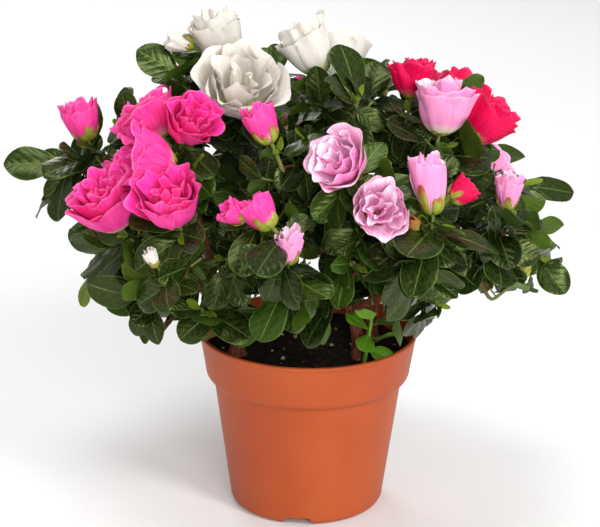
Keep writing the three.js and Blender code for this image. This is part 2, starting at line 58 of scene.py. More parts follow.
POT = dict(
    height=108, rim=65, lip=2.6, lip_step=0.5,
    collar_foot=61.2, collar_foot_z=85, crease=56.4, crease_z=79.5,
    foot=46.2, round=5.2, wall=1.5,
)
NOTCH = dict(count=3, first=-96.5 * DEGREE, width=19, top=14, height=5.2, depth=15, hole=3.4, hole_at=37)
SOIL_TOP = 96

DOME_CENTRE = np.array([-2.0, 2.0, 172.0])
DOME_RADIUS = np.array([128.0, 116.0, 98.0])
DOME_LOWEST = -0.3
LAYERS = ((1, 90, 34), (0.62, 40, 40))  # of filler shoots: share of the dome's radius, tries, spacing
# The crown's lower edge: leaves hang no lower than this, less so the further forward, and less on the right.
UNDERSIDE = dict(left=98, right=131, turn=(60, 85), slope=0.375, back=20)
# Over the pot's front right they hang no lower than this, clear of the stem and the young shoot there.
OPENING = dict(level=122, left=14, right=43, front=-16)
LEAF = dict(length=38, width=0.5, count=6, step=2.0, droop=0.16, tries=8, roll=1.3)
SPACE = dict(margin=1.1, whorl=9, twig=2.2, limb=3.4, along=6, leaf=10)  # how far things keep apart
TWIG_STEPS = 10
BOUGH, LEADER, SIDE = (2.6, 1.9), (1.9, 1.15), (1.4, 0.95)  # radius at the root and at the tip

# Each stem: foot, fork, radius at the soil and at the fork.
STEMS = {
    "left": ((-42, -12), (-45, -8, 126), (4.4, 3.0)),
    "front_right": ((30, -16), (20, -14, 140), (3.6, 2.7)),
    "back_right": ((38, 14), (42, 16, 142), (3.8, 2.8)),
    "back_left": ((-14, 34), (-20, 30, 146), (3.9, 2.8)),
}

# Each mass: name, stem, where on it the bough starts, leafy tips, flowers. A tip is its place, and the
# heading and lift of its shoot where that doesn't simply point outwards. A flower is stage, colour, centre,
# heading (0 to the right, 90 to the back) and lift above level in degrees, radius and depth.
MASSES = (
    ("left_tip", "left", 0.55, ((-140, -12, 214, -125, 35), (-112, -14, 182), (-122, 34, 200)), (
        ("bud", "pink", (-132, -8, 238), 150, 72, 11, 25),
    )),
    ("left_upper", "left", 1.0, ((-108, 2, 230, -130, 45),), (
        ("bloom", "pink", (-91, -46, 250), 165, 50, 18, 28),
        ("bloom", "pink", (-66, -64, 252), -60, 45, 16, 26),
        ("bloom", "pink", (-90, -76, 233), -165, 15, 20, 32),
    )),
    ("left_lower", "left", 0.72, ((-92, -66, 150, -110, 20), (-108, -44, 172)), (
        ("bloom", "pink", (-113, -70, 207), -150, 62, 19, 34),
        ("bloom", "pink", (-102, -46, 214), 120, 60, 14, 28),
        ("bloom", "pink", (-76, -96, 217), -110, 60, 19, 32),
        ("bud", "white", (-86, -100, 186), 170, 60, 4, 11),
    )),
    ("front_centre", "left", 0.88, ((-60, -74, 147, -100, 30), (-46, -84, 180, -95, 30), (-12, -92, 170)), (
        ("bud", "pink", (-41, -112, 216), -170, 30, 7, 15),
        ("bud", "pink", (-27, -113, 216), 150, 40, 9.5, 20),
        ("bud", "blush", (-11, -119, 200), -80, 78, 7.5, 22),
    )),
    ("centre", "front_right", 0.98, ((-2, -62, 242),), (
        ("bud", "pink", (-27, -78, 256), 160, 60, 9.5, 23),
    )),
    ("front_right", "front_right", 0.8, ((24, -98, 184), (64, -88, 176), (14, -84, 158, -95, 30)), (
        ("bloom", "blush", (15, -96, 240), -125, 35, 18, 24),
        ("bloom", "blush", (37, -110, 218), -85, 25, 17.5, 24),
        ("bud", "blush", (64, -92, 228), 120, 70, 10.5, 34),
        ("bud", "green", (55, -104, 209), -120, 50, 4.5, 12),
    )),
    ("right_lower", "front_right", 0.62, ((132, -30, 166, -60, 25), (70, -66, 150), (104, -56, 178)), (
        ("bud", "blush", (111, -55, 212), 60, 80, 7.5, 21),
        ("bud", "green", (122, -52, 168), 45, 60, 4.5, 17),
    )),
    ("right_upper", "back_right", 0.84, ((122, -12, 204, -40, 40),), (
        ("bloom", "blush", (74, -34, 256), 70, 78, 18, 33),
        ("bloom", "crimson", (58, -6, 265), 80, 75, 15, 24),
        ("bloom", "crimson", (100, -16, 243), 15, 50, 17, 30),
        ("bud", "crimson", (84, -62, 214), 20, 30, 8, 16),
    )),
    ("top_right", "back_right", 1.0, ((26, -24, 254), (34, 20, 246)), (
        ("bloom", "white", (-2, 2, 280), 165, 62, 17, 34),
    )),
    ("top_left", "back_left", 1.0, ((-70, 14, 262), (-20, 22, 262)), (
        ("bloom", "white", (-54, 8, 284), 175, 74, 17, 34),
        ("bud", "white", (-76, 6, 281), 178, 15, 6, 18),
        ("bloom", "white", (-40, -36, 266), -80, 50, 26, 32),
    )),
    ("back_right", "back_right", 0.66, ((128, 44, 164),), (
        ("bloom", "crimson", (88, 62, 234), 45, 40, 19, 30),
        ("bloom", "blush", (108, 40, 196), 25, 25, 17, 26),
        ("bud", "pink", (60, 92, 204), 65, 45, 9, 21),
    )),
    ("back_centre", "back_left", 0.82, ((24, 92, 150),), (
        ("bloom", "white", (16, 72, 258), 85, 55, 20, 32),
        ("bloom", "pink", (-14, 104, 216), 100, 30, 19, 28),
        ("bud", "blush", (30, 104, 186), 75, 40, 8, 20),
    )),
    ("back_left", "back_left", 0.66, ((-110, 62, 158), (-58, 84, 146)), (
        ("bloom", "pink", (-66, 72, 242), 125, 45, 19, 30),
        ("bloom", "blush", (-100, 50, 206), 150, 30, 18, 28),
        ("bud", "crimson", (-72, 88, 190), 125, 45, 8, 20),
    )),
)

YOUNG_FOOT, YOUNG_TIP, YOUNG_RADIUS = (33, -25), (37, -29, 128), (1.5, 1.0)
YOUNG_LEAF = dict(length=20, width=0.42, count=8, step=3.0, droop=0.05)
YOUNG_WIDER = 1.35  # than the solids have them
YOUNG_SEED = 7


# ---- small helpers
def vec(point):
    return np.array(point, float)


def unit(v):
    return v / np.linalg.norm(v)


def lerp(a, b, t):
    return a + (b - a) * t


def distance(a, b):
    return float(np.linalg.norm(a - b))


def turn_about(v, axis, angle):
    """v turned about a unit axis."""
    side = np.cross(axis, v)
    return v * math.cos(angle) + side * math.sin(angle) + axis * (axis @ v) * (1 - math.cos(angle))


def seeded(seed):
    """A small repeatable source of numbers from 0 to 1 (mulberry32), the same as the solids use."""
    state = seed & MASK

    def draw():
        nonlocal state
        state = (state + 0x6D2B79F5) & MASK
        mixed = ((state ^ (state >> 15)) * (state | 1)) & MASK
        mixed ^= (mixed + (mixed ^ (mixed >> 7)) * (mixed | 61)) & MASK
        return (mixed ^ (mixed >> 14)) / 4294967296

    return draw


def across(axis):
    """Two directions square to an axis."""
    side = unit(np.cross(axis, (1, 0, 0) if abs(axis[2]) > 0.94 else UP))
    return side, np.cross(axis, side)


def way(start, heading, end, arriving, steps, pull=0.35):
    """Points on a smooth way from one point and direction to another."""
    reach = distance(start, end) * pull
    out = start + heading * reach
    back = end - arriving * reach
    points = []
    for k in range(steps + 1):
        t = k / steps
        s = 1 - t
        points.append(s**3 * start + 3 * s * s * t * out + 3 * s * t * t * back + t**3 * end)
    return points


def part_way(path, share):
    """The point some share of the way along a path, counted by its pieces, and the direction there."""
    place = share * (len(path) - 1)
    k = min(int(place), len(path) - 2)
    return lerp(path[k], path[k + 1], place - k), unit(path[k + 1] - path[k])


# ---- where the shoots are
def outward(point):
    return unit((point - DOME_CENTRE) / DOME_RADIUS)


def facing(heading, lift):
    level = math.cos(lift * DEGREE)
    turn = heading * DEGREE
    return vec((level * math.cos(turn), level * math.sin(turn), math.sin(lift * DEGREE)))


def flower_shoot(stage, colour, at, heading, lift, radius, depth):
    """A shoot that ends in a whorl of leaves under its flower, and leans outwards as the flower does."""
    face = facing(heading, lift)
    centre = vec(at)
    base = centre - face * depth / 2
    flower = dict(stage=stage, colour=colour, centre=centre, base=base, face=face, radius=radius, depth=depth)
    whorl = base - face * 5 - outward(centre) * 3
    return dict(whorl=whorl, axis=unit(face + outward(centre) + UP * 0.3), flower=flower)


def leafy_shoot(x, y, z, heading=0, lift=None):
    whorl = vec((x, y, z))
    axis = outward(whorl) + UP * 0.45 if lift is None else facing(heading, lift)
    return dict(whorl=whorl, axis=unit(axis), flower=None)


def filler_shoots(taken):
    """Shoots on the dome and on a smaller one within it, on a golden spiral, where no other is near."""
    found = []
    for scale, tries, spacing in LAYERS:
        for k in range(tries):
            z = 1 - ((k + 0.5) / tries) * (1 - DOME_LOWEST)
            level = math.sqrt(1 - z * z) * scale
            direction = vec((level * math.cos(k * GOLDEN), level * math.sin(k * GOLDEN), z * scale))
            shoot = leafy_shoot(*(direction * DOME_RADIUS + DOME_CENTRE))
            if all(distance(s["whorl"], shoot["whorl"]) > spacing for s in taken + found):
                found.append(shoot)
    return found


def plan_crown():
    """The masses with their shoots. Each filler shoot goes to the mass that has the nearest shoot."""
    masses = []
    for name, stem, at, tips, flowers in MASSES:
        shoots = [flower_shoot(*flower) for flower in flowers] + [leafy_shoot(*tip) for tip in tips]
        masses.append(dict(name=name, stem=stem, at=at, shoots=shoots))
    named = [(shoot, mass) for mass in masses for shoot in mass["shoots"]]
    for filler in filler_shoots([shoot for shoot, _ in named]):
        nearest = min(named, key=lambda pair: distance(pair[0]["whorl"], filler["whorl"]))
        nearest[1]["shoots"].append(filler)
    return masses


# ---- stems, boughs and twigs
def stem_path(foot, fork):
    base = vec((*foot, SOIL_TOP + CLEAR))
    top = vec(fork)
    middle = vec((*foot, lerp(base[2], top[2], 0.5)))
    points = []
    for k in range(6):
        t = k / 5
        points.append((1 - t) ** 2 * base + 2 * (1 - t) * t * middle + t * t * top)
    return points


def twig_path(root, heading, shoot, steps):
    """A twig ends in a straight stretch that carries its leaves, and goes on to any flower."""
    bare = shoot["whorl"] - shoot["axis"] * LEAF["count"] * LEAF["step"]
    path = way(root, heading, bare, shoot["axis"], steps, 0.3) + [shoot["whorl"]]
    if shoot["flower"]:
        path.append(shoot["flower"]["base"] + shoot["flower"]["face"] * 2.5)
    return path


def plan_wood(mass):
    """The bough runs from its stem half way to the middle of its mass, and the mass's leader goes on from
    there to the furthest shoot. The other shoots branch off the leader, the nearest ones first."""
    foot, fork, _ = STEMS[mass["stem"]]
    start, rise = part_way(stem_path(foot, fork), mass["at"])
    middle = sum(s["whorl"] for s in mass["shoots"]) / len(mass["shoots"])
    entry = lerp(start, middle, 0.5) + UP * 4
    heading = unit(unit((middle - start) * (1, 1, 0)) + rise)
    arriving = unit(unit(middle - entry) + UP * 0.3)
    mass["bough"] = way(start, heading, entry, arriving, 4)
    by_reach = sorted(mass["shoots"], key=lambda s: distance(s["whorl"], entry))
    lead = by_reach.pop()
    lead["start"] = (entry + arriving * CLEAR, arriving)
    mass["lead"] = lead
    lead["twig"] = twig_path(*lead["start"], lead, 2)
    for i, shoot in enumerate(by_reach):
        share = lerp(0.06, 0.5, i / (len(by_reach) - 1) if len(by_reach) > 1 else 0.5)
        shoot["start"] = part_way(lead["twig"], share)
        shoot["twig"] = twig_path(*shoot["start"], shoot, 1)


# ---- a mass's own space
def balls_of(mass):
    """Balls along a mass's wood and round its flowers: rows of a centre and a radius."""
    balls = []
    for shoot in mass["shoots"]:
        balls.append((*shoot["whorl"], SPACE["whorl"]))
        for k in range(SPACE["along"] + 1):
            balls.append((*part_way(shoot["twig"], k / SPACE["along"])[0], SPACE["twig"]))
        flower = shoot["flower"]
        if flower:
            balls.append((*flower["centre"], max(flower["radius"], flower["depth"] / 2)))
    return np.array(balls)


def balls_along(path):
    return [(*part_way(path, k / 12)[0], SPACE["limb"]) for k in range(13)]


def nearest_ball(balls, points):
    """How far each point is from the nearest ball's skin."""
    apart = np.linalg.norm(points[:, None, :] - balls[None, :, :3], axis=2) - balls[None, :, 3]
    return apart.min(axis=1)


def clear_of_pot(points):
    x, y, z = points.T
    out = np.hypot(x, y)
    within = (out < POT["rim"] - 6) & (z > SOIL_TOP + 2)
    return bool(np.all((z > POT["height"] + 2) | (out > POT["rim"] + 2) | within))


def keeps_to(mass, points, masses, limbs):
    """Whether points stay in a mass's own space, off the pot, the limbs and the other masses."""
    if not clear_of_pot(points) or nearest_ball(limbs, points).min() < SPACE["margin"]:
        return False
    own = nearest_ball(mass["balls"], points) + SPACE["margin"]
    return all(other is mass or np.all(nearest_ball(other["balls"], points) > own) for other in masses)


# ---- leaves
LEAF_OUTLINE = ((0, 0), (0.42, 0.8), (0.8, 0.88), (1, 0), (0.8, -0.88), (0.42, -0.8))


def leaf_of(shoot, i, attempt, draw, size):
    """One leaf of a shoot: its root, direction, upper side, length and half width."""
    e, f = across(shoot["axis"])
    turn = i * GOLDEN + (draw() - 0.5) * 1.1
    pitch = lerp(46, -24, i / (size["count"] - 1)) * DEGREE + (draw() - 0.5) * 0.5
    length = size["length"] * (1.1 - 0.3 * draw() - 0.07 * attempt)
    level = e * math.cos(turn) + f * math.sin(turn)
    along = level * math.cos(pitch) + shoot["axis"] * math.sin(pitch)
    along = unit(along - UP * size["droop"])
    upper = unit(shoot["axis"] - along * (shoot["axis"] @ along))
    upper = turn_about(upper, along, (draw() - 0.5) * LEAF["roll"])
    root = shoot["whorl"] - shoot["axis"] * (1 + i * size["step"])
    half = length * size["width"] / 2
    return dict(root=root, along=along, upper=upper, length=length, half=half, droop=size["droop"])


def leaf_point(leaf, t, s, lift):
    """The point a share t along a leaf and a share s of its half width to the side."""
    side = np.cross(leaf["upper"], leaf["along"])
    raised = leaf["upper"] * (lift - leaf["droop"] * t * t * leaf["length"])
    return leaf["root"] + leaf["along"] * (t * leaf["length"]) + side * (s * leaf["half"]) + raised


def leaf_test_points(leaf):
    edge = [leaf_point(leaf, t, s, abs(s) * leaf["half"] * 0.18) for t, s in LEAF_OUTLINE[1:]]
    return np.array(edge + [leaf_point(leaf, 0.45, 0, 0.45), leaf_point(leaf, 0.45, 0, -0.45)])


def leaves_of(shoot, seed, size, keeps, placed):
    """The leaves of a shoot that keep to its mass's space and off each other, each tried a few ways."""
    draw = seeded(seed)
    leaves = []
    for i in range(size["count"]):
        for attempt in range(LEAF["tries"]):
            leaf = leaf_of(shoot, i, attempt, draw, size)
            middle = [leaf_point(leaf, t, 0, 0) for t in (0.5, 0.75, 1)]
            crowded = any(distance(p, q) < size.get("apart", SPACE["leaf"]) for p in middle for q in placed)
            if crowded or not keeps(leaf_test_points(leaf)):
                continue
            placed.extend(middle)
            leaves.append(leaf)
            break
    return leaves


# ---- finer growth within the same reach
SPRIG = dict(count=5, first=0.2, last=0.86, reach=17, lean=52 * DEGREE, radius=(0.8, 0.55))
SPRIG_LEAF = dict(length=28, width=0.52, count=6, step=1.3, droop=0.12, apart=6.5)
SPRIG_SEED = SEED + 7000
BRACT = dict(length=13, width=0.3, count=3, step=0.5, droop=0.0)  # the young leaves round a shoot's tip


def hangs_high(points):
    """Whether all points are above the crown's lower edge."""
    x, y, z = points.T
    first, last = UNDERSIDE["turn"]
    level = lerp(UNDERSIDE["left"], UNDERSIDE["right"], np.clip((x - first) / (last - first), 0, 1))
    over = (x > OPENING["left"]) & (x < OPENING["right"]) & (y < OPENING["front"])
    level = np.where(over, OPENING["level"], level)
    return bool(np.all(z > level - UNDERSIDE["slope"] * np.minimum(y, UNDERSIDE["back"])))


def depth_in_crown(point):
    """How far out a point is, as a share of the dome's radius."""
    return np.linalg.norm((point - DOME_CENTRE) / DOME_RADIUS)


def fine_twig(shoot, leader):
    """A shoot's twig on a smooth way. A side twig starts on the leader's own smooth way."""
    start, heading = shoot["start"]
    if leader is not None:
        start = min(leader, key=lambda point: distance(point, start))
    return twig_path(start, heading, shoot, TWIG_STEPS)


def sprigs_of(shoot):
    """Short sprigs that leave a twig on a golden spiral, each with a whorl of smaller leaves."""
    sprigs = []
    for i in range(SPRIG["count"]):
        share = lerp(SPRIG["first"], SPRIG["last"], i / (SPRIG["count"] - 1))
        point, direction = part_way(shoot["fine"], share)
        e, f = across(direction)
        level = e * math.cos(i * GOLDEN) + f * math.sin(i * GOLDEN)
        axis = unit(level * math.sin(SPRIG["lean"]) + direction * math.cos(SPRIG["lean"]) + UP * 0.2)
        sprigs.append(dict(whorl=point + axis * SPRIG["reach"], axis=axis, root=point))
    return sprigs


# ---- meshes
SHARP = 75  # degrees: edges sharper than this stay sharp on leaves, petals, twigs and grains


class Piece:
    """Collects closed sheets, tubes and lumps that are joined into one mesh. Every sheet and tube has the
    whole of one pattern square, so that a material's pattern falls on each of them alike."""

    def __init__(self):
        self.points = []
        self.faces = []
        self.patterns = []
        self.count = 0

    def add(self, points, faces, pattern):
        """Points in millimetres, blocks of faces by point number, and their corners on the pattern."""
        for block, places in zip(faces, pattern):
            self.faces.append(np.asarray(block) + self.count)
            self.patterns.append(np.asarray(places, float))
        self.points.append(points)
        self.count += len(points)

    def made(self, name, material, slot, replaced=()):
        faces = [face for block in self.faces for face in block.tolist()]
        piece = solid(name, np.concatenate(self.points), faces)
        layer = piece.data.uv_layers.new(name="OFBake")
        corners = np.concatenate([places.reshape(-1, 2) for places in self.patterns])
        layer.uv.foreach_set("vector", corners.ravel())
        dress(piece, material, replaced, SHARP)


def solid(name, points, faces):
    """A mesh from points in millimetres."""
    data = bpy.data.meshes.new(name)
    data.from_pydata(np.asarray(points) * MM, [], faces)
    made = bpy.data.objects.new(name, data)
    bpy.context.scene.collection.objects.link(made)
    return made


def dress(piece, material, replaced, sharp):
    """Finishes a piece: smooth but for edges sharper than an angle, on the one body and in
    place of its nodes."""
    piece.data.shade_smooth()
    piece.data.set_sharp_from_angle(angle=sharp * DEGREE)
    piece.data.materials.clear()
    piece.data.materials.append(material)
    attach(piece, "root")
    if replaced:
        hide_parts(*replaced)


def halves(corners):
    """Each four-cornered face as two triangles, split the same way on both sides of a sheet."""
    return np.concatenate([corners[:, [0, 1, 2]], corners[:, [0, 2, 3]]])


def quads(index):
    """The faces between a grid's rows and columns, and each corner's row and column. At two of the grid's
    corners the face starts one place on, so that neither of its halves lies all along the rim, where a
    sheet has no thickness."""
    rows, columns = index.shape
    i, j = np.meshgrid(np.arange(rows - 1), np.arange(columns - 1), indexing="ij")
    i, j = i.ravel(), j.ravel()
    row = np.stack([i, i, i + 1, i + 1], axis=1)
    column = np.stack([j, j + 1, j + 1, j], axis=1)
    turned = ((i == 0) & (j == columns - 2)) | ((i == rows - 2) & (j == 0))
    row[turned] = np.roll(row[turned], -1, axis=1)
    column[turned] = np.roll(column[turned], -1, axis=1)
    return index[row, column], row, column


def add_sheet(piece, grid, thick):
    """A closed sheet over a grid of points, rows from base to tip and columns across. Its upper side takes
    the left half of the pattern square and its under side the right half."""
    rows, columns, _ = grid.shape
    normal = np.cross(np.gradient(grid, axis=1), np.gradient(grid, axis=0))
    normal /= np.linalg.norm(normal, axis=2, keepdims=True) + 1e-9
    lift = np.zeros((rows, columns, 1))
    lift[1:-1, 1:-1] = thick / 2
    upper = np.arange(rows * columns).reshape(rows, columns)
    lower = upper.copy()
    inner = (rows - 2) * (columns - 2)
    lower[1:-1, 1:-1] = rows * columns + np.arange(inner).reshape(rows - 2, columns - 2)
    points = (grid + normal * lift).reshape(-1, 3)
    under = (grid - normal * lift)[1:-1, 1:-1].reshape(-1, 3)
    top, row, column = quads(upper)
    bottom = quads(lower)[0]
    places = np.stack([column / (columns - 1) / 2, row / (rows - 1)], axis=2)
    faces = [halves(top), halves(bottom)[:, ::-1]]
    piece.add(np.concatenate([points, under]), faces, [halves(places), halves(places + (0.5, 0))[:, ::-1]])


def wrap(count, sides):
    """The faces round rings of points, and the fans that close them to two points numbered after the rings.
    Then each corner's row and column."""
    index = np.arange(count * sides).reshape(count, sides)
    skin, row, column = quads(np.concatenate([index, index[:, :1]], axis=1))
    foot, top = count * sides, count * sides + 1
    following = np.roll(np.arange(sides), -1)
    low = np.stack([np.full(sides, foot), following, index[0]], axis=1)
    high = np.stack([np.full(sides, top), index[-1], index[-1][following]], axis=1)
    return skin, low, high, row, column


def rings_along(path, radii, sides, relief=None):
    """A ring of points round each point of a path. Relief is the share by which a radius grows."""
    e = None
    rings = []
    for k, point in enumerate(path):
        axis = unit(path[min(k + 1, len(path) - 1)] - path[max(k - 1, 0)])
        e = across(axis)[0] if e is None else unit(e - axis * (e @ axis))
        f = np.cross(axis, e)
        turn = np.arange(sides) * 2 * math.pi / sides
        radius = np.full(sides, float(radii[k]))
        if relief:
            radius *= [1 + relief(angle, k / (len(path) - 1), point) for angle in turn]
        rings.append(point + np.outer(radius * np.cos(turn), e) + np.outer(radius * np.sin(turn), f))
    return np.array(rings)


def add_tube(piece, path, radii, sides, relief=None):
    """A closed tube along a path. The pattern runs once round it and once along it."""
    rings = rings_along(path, radii, sides, relief)
    skin, low, high, row, column = wrap(len(path), sides)
    places = np.stack([column / sides, row / (len(path) - 1)], axis=2)
    ends = [np.zeros((sides, 3, 2)) + (0.5, 0.01), np.zeros((sides, 3, 2)) + (0.5, 0.99)]
    piece.add(np.concatenate([rings.reshape(-1, 3), [path[0], path[-1]]]), [skin, low, high], [places, *ends])


# ---- leaf blades
BLADE = dict(
    rows=12, columns=7, thick=0.4, stalk=0.09, petiole=0.07, groove=0.30, roll=0.24, taper=(0.85, 0.58),
    wider=(0.95, 1.3), bend=0.16, droop=(0.6, 1.5), twist=0.5, wave=0.035,
)


def blade_width(t):
    """A leaf's half width along it, as a share of its greatest: a stalk, then a blunt oval blade."""
    s = np.clip((t - BLADE["stalk"]) / (1 - BLADE["stalk"]), 0, 1)
    low, high = BLADE["taper"]
    greatest = (low / (low + high)) ** low * (high / (low + high)) ** high
    return np.maximum(s ** low * (1 - s) ** high / greatest, BLADE["petiole"] * (t < 0.5) + 0.02)


def add_leaf(piece, leaf, draw):
    """A leathery blade, grooved along its midrib and rolled under at its edges, bent in its own way."""
    t = np.sin(np.linspace(0, math.pi / 2, BLADE["rows"]))[:, None]  # closest together where the tip is round
    s = np.linspace(1, -1, BLADE["columns"])[None, :]
    width = blade_width(t) * lerp(*BLADE["wider"], draw())
    side = np.cross(leaf["upper"], leaf["along"])
    bend = (draw() - 0.5) * BLADE["bend"]
    curl = leaf["droop"] * lerp(*BLADE["droop"], draw()) * t * t
    twist = (draw() - 0.5) * BLADE["twist"] * t
    wave = BLADE["wave"] * np.sin(t * 9 + draw() * 6) * s * np.abs(s)
    raised = width * leaf["half"] * (BLADE["groove"] * np.abs(s) - BLADE["roll"] * s * s + twist * s)
    raised = raised + (wave - curl) * leaf["length"]
    sideways = s * width * leaf["half"] + bend * t * t * leaf["length"]
    grid = (
        leaf["root"]
        + (t + 0 * s)[..., None] * leaf["along"] * leaf["length"]
        + sideways[..., None] * side
        + raised[..., None] * leaf["upper"]
    )
    add_sheet(piece, grid, BLADE["thick"])


# ---- petals and scales
WHORL = ("count", "out", "up", "span", "ruffle", "fall", "widen", "roll", "wind", "loose")


def whorls(*rows):
    """Whorls of a flower from the outermost in. Each has its number of petals, its reach outwards and along
    the flower as shares of the radius and the depth, the half angle that a petal spans, how much its edge
    ruffles, how far the edge falls towards a petal's sides, how soon the cup widens, how it rolls out at
    its rim, how far it winds round, and how far its petals lean apart."""
    return [dict(zip(WHORL, row)) for row in rows]


WHORLS = {
    "bloom": whorls(
        (5, 0.9, 0.84, 60, 0.11, 0.22, 0.7, 0.14, 0.0, 0.4),
        (4, 0.78, 0.95, 64, 0.13, 0.22, 0.76, 0.1, 0.15, 0.4),
        (4, 0.54, 1.0, 62, 0.15, 0.24, 0.84, 0.08, 0.3, 0.3),
        (3, 0.3, 0.96, 76, 0.15, 0.24, 0.84, 0.06, 0.5, 0.3),
    ),
    "open": whorls(
        (4, 0.82, 0.84, 74, 0.09, 0.14, 0.6, 0.08, 0.0, 0.3),
        (4, 0.7, 0.94, 66, 0.12, 0.16, 0.68, 0.08, 0.2, 0.3),
        (3, 0.47, 1.0, 78, 0.15, 0.18, 0.75, 0.08, 0.4, 0.3),
        (2, 0.24, 0.9, 100, 0.15, 0.2, 0.8, 0.0, 0.6, 0.1),
    ),
    "bud": whorls(
        (4, 0.96, 0.9, 62, 0.14, 0.26, 0.66, 0.0, 0.5, 0.2),
        (4, 0.78, 1.0, 60, 0.17, 0.26, 0.72, 0.0, 0.8, 0.2),
        (3, 0.46, 0.98, 64, 0.17, 0.26, 0.76, 0.0, 1.0, 0.2),
    ),
    "green": whorls(
        (4, 1.0, 0.62, 52, 0.02, 0.6, 0.3, -0.35, 0.1, 0.0),
        (4, 0.86, 0.84, 52, 0.02, 0.6, 0.3, -0.5, 0.2, 0.0),
        (3, 0.66, 1.0, 64, 0.02, 0.6, 0.34, -0.55, 0.3, 0.0),
    ),
}
CALYX = {
    "bloom": whorls(
        (5, 0.4, 0.26, 34, 0.03, 0.6, 0.5, 0.1, 0.0, 0.2),
    ),
    "bud": whorls(
        (5, 0.66, 0.28, 38, 0.02, 0.6, 0.7, 0.0, 0.1, 0.1),
        (4, 0.84, 0.5, 27, 0.02, 0.8, 0.7, 0.0, 0.1, 0.05),
    ),
}
OPEN_COLOURS = ("blush", "white")  # their full blooms have fewer and wider petals
PETAL = dict(rows=13, columns=21, thick=0.35)
BUD_PETAL = dict(rows=11, columns=15, thick=0.35)
SCALE = dict(rows=7, columns=7, thick=0.5)
PETAL_FOOT = 0.04  # where its lines start, as a share of its length
RUFFLES = ((1.2, 0.9), (2.5, 0.55), (4.1, 0.3))  # waves of a rim: half turns across the petal and height
CRIMP = 0.3  # of the ruffle along the flower
FOLD = 0.025  # of a petal's reach, half way up
LAP = 0.05  # of a petal's reach, so that it lies over the next one on one side


def petal_grid(flower, whorl, i, draw, size):
    """One petal of a whorl, as a fan of lines from the flower's base out to a ruffled rim. v runs along it,
    u from side to side, and q is how near a point is to the rim."""
    v = np.linspace(PETAL_FOOT, 1, size["rows"])[:, None]
    u = np.linspace(-1, 1, size["columns"])[None, :]
    q = v * (1 - whorl["fall"] * np.abs(u) ** 3.2)
    out = flower["radius"] * whorl["out"] * lerp(0.92, 1.06, draw())
    up = flower["depth"] * whorl["up"] * lerp(0.85, 1.06, draw())
    lean = 1 + whorl["loose"] * (draw() - 0.4) * q * q
    rim = q ** 4
    ruffle = np.zeros_like(q)
    crimp = np.zeros_like(q)
    for turns, share in RUFFLES:
        ruffle = ruffle + share * np.sin(turns * math.pi * u + draw() * 6.3 + 1.6 * v)
        crimp = crimp + share * np.sin(turns * 1.2 * math.pi * u + draw() * 6.3 - v)
    fold = FOLD * np.sin(2.4 * math.pi * u + draw() * 6.3) * q * (1 - q) * 4
    bowl = np.sin(math.pi / 2 * q ** whorl["widen"])
    reach = (0.1 + 0.9 * bowl + whorl["roll"] * q ** 6 + fold) * lean
    radius = out * reach + flower["radius"] * whorl["ruffle"] * rim * ruffle
    height = up * (q ** 1.15 - 0.04 * q ** 8) + flower["depth"] * whorl["ruffle"] * CRIMP * rim * crimp
    e, f = across(flower["face"])
    turn = flower["turn"] + i * 2 * math.pi / whorl["count"] + whorl["wind"] * (1 + q)
    angle = turn + u * whorl["span"] * DEGREE * (0.62 + 0.38 * q)
    lap = 1 + LAP * u
    way_out = np.cos(angle)[..., None] * e + np.sin(angle)[..., None] * f
    return flower["base"] + height[..., None] * flower["face"] + (radius * lap)[..., None] * way_out


def add_whorls(piece, flower, whorls, draw, size):
    for whorl in whorls:
        for i in range(whorl["count"]):
            add_sheet(piece, petal_grid(flower, whorl, i, draw, size), size["thick"])
        flower = {**flower, "turn": flower["turn"] + GOLDEN}


# ---- pot and soil
POT_SEGMENTS = 144
LIP_TOP, LIP_FOOT = 0.7, 0.4  # how far the lip's edges are rounded
SOIL_RINGS = 44
SWELLS = ((0.045, 2.6), (0.23, 1.3), (0.8, 0.9))  # of the soil's top: how close together and how high
# Grains on the soil: how many, their least and greatest radius, and what they are of.
GRAINS = (("soil_crumbs", 420, (0.5, 2.1), "peat"), ("perlite", 60, (0.35, 1.6), "perlite"))
GRAIN_SEED = 11


def arc(count, first, last):
    return [lerp(first, last, k / count) * DEGREE for k in range(count + 1)]


def pot_outline(inset):
    """Outline of the pot's outside, or of a layer some thickness inside it, from its foot up to its rim."""
    points = []
    for turn in arc(8, 0, 90):
        radius = POT["round"] - inset
        foot = POT["foot"] - POT["round"]
        points.append((foot + radius * math.sin(turn), POT["round"] - radius * math.cos(turn)))
    points.append((POT["crease"] - inset, POT["crease_z"] + inset * 0.7))
    for turn in arc(10, 9, 90):
        swell = POT["collar_foot"] - POT["crease"] - inset
        climb = (POT["collar_foot_z"] - POT["crease_z"]) * (1 - math.cos(turn)) + inset * math.cos(turn)
        points.append((POT["crease"] + swell * math.sin(turn), POT["crease_z"] + climb))
    under_lip = POT["rim"] - POT["lip_step"]
    if inset:
        points.append((under_lip - inset, POT["height"]))
        return points
    points.append((under_lip, POT["height"] - POT["lip"]))
    low = POT["height"] - POT["lip"] + LIP_TOP
    high = POT["height"] - LIP_TOP
    for turn in arc(3, -60, 0):
        points.append((POT["rim"] - LIP_FOOT * (1 - math.cos(turn)), low + LIP_FOOT * math.sin(turn)))
    for turn in arc(5, 0, 90):
        points.append((POT["rim"] - LIP_TOP * (1 - math.cos(turn)), high + LIP_TOP * math.sin(turn)))
    return points


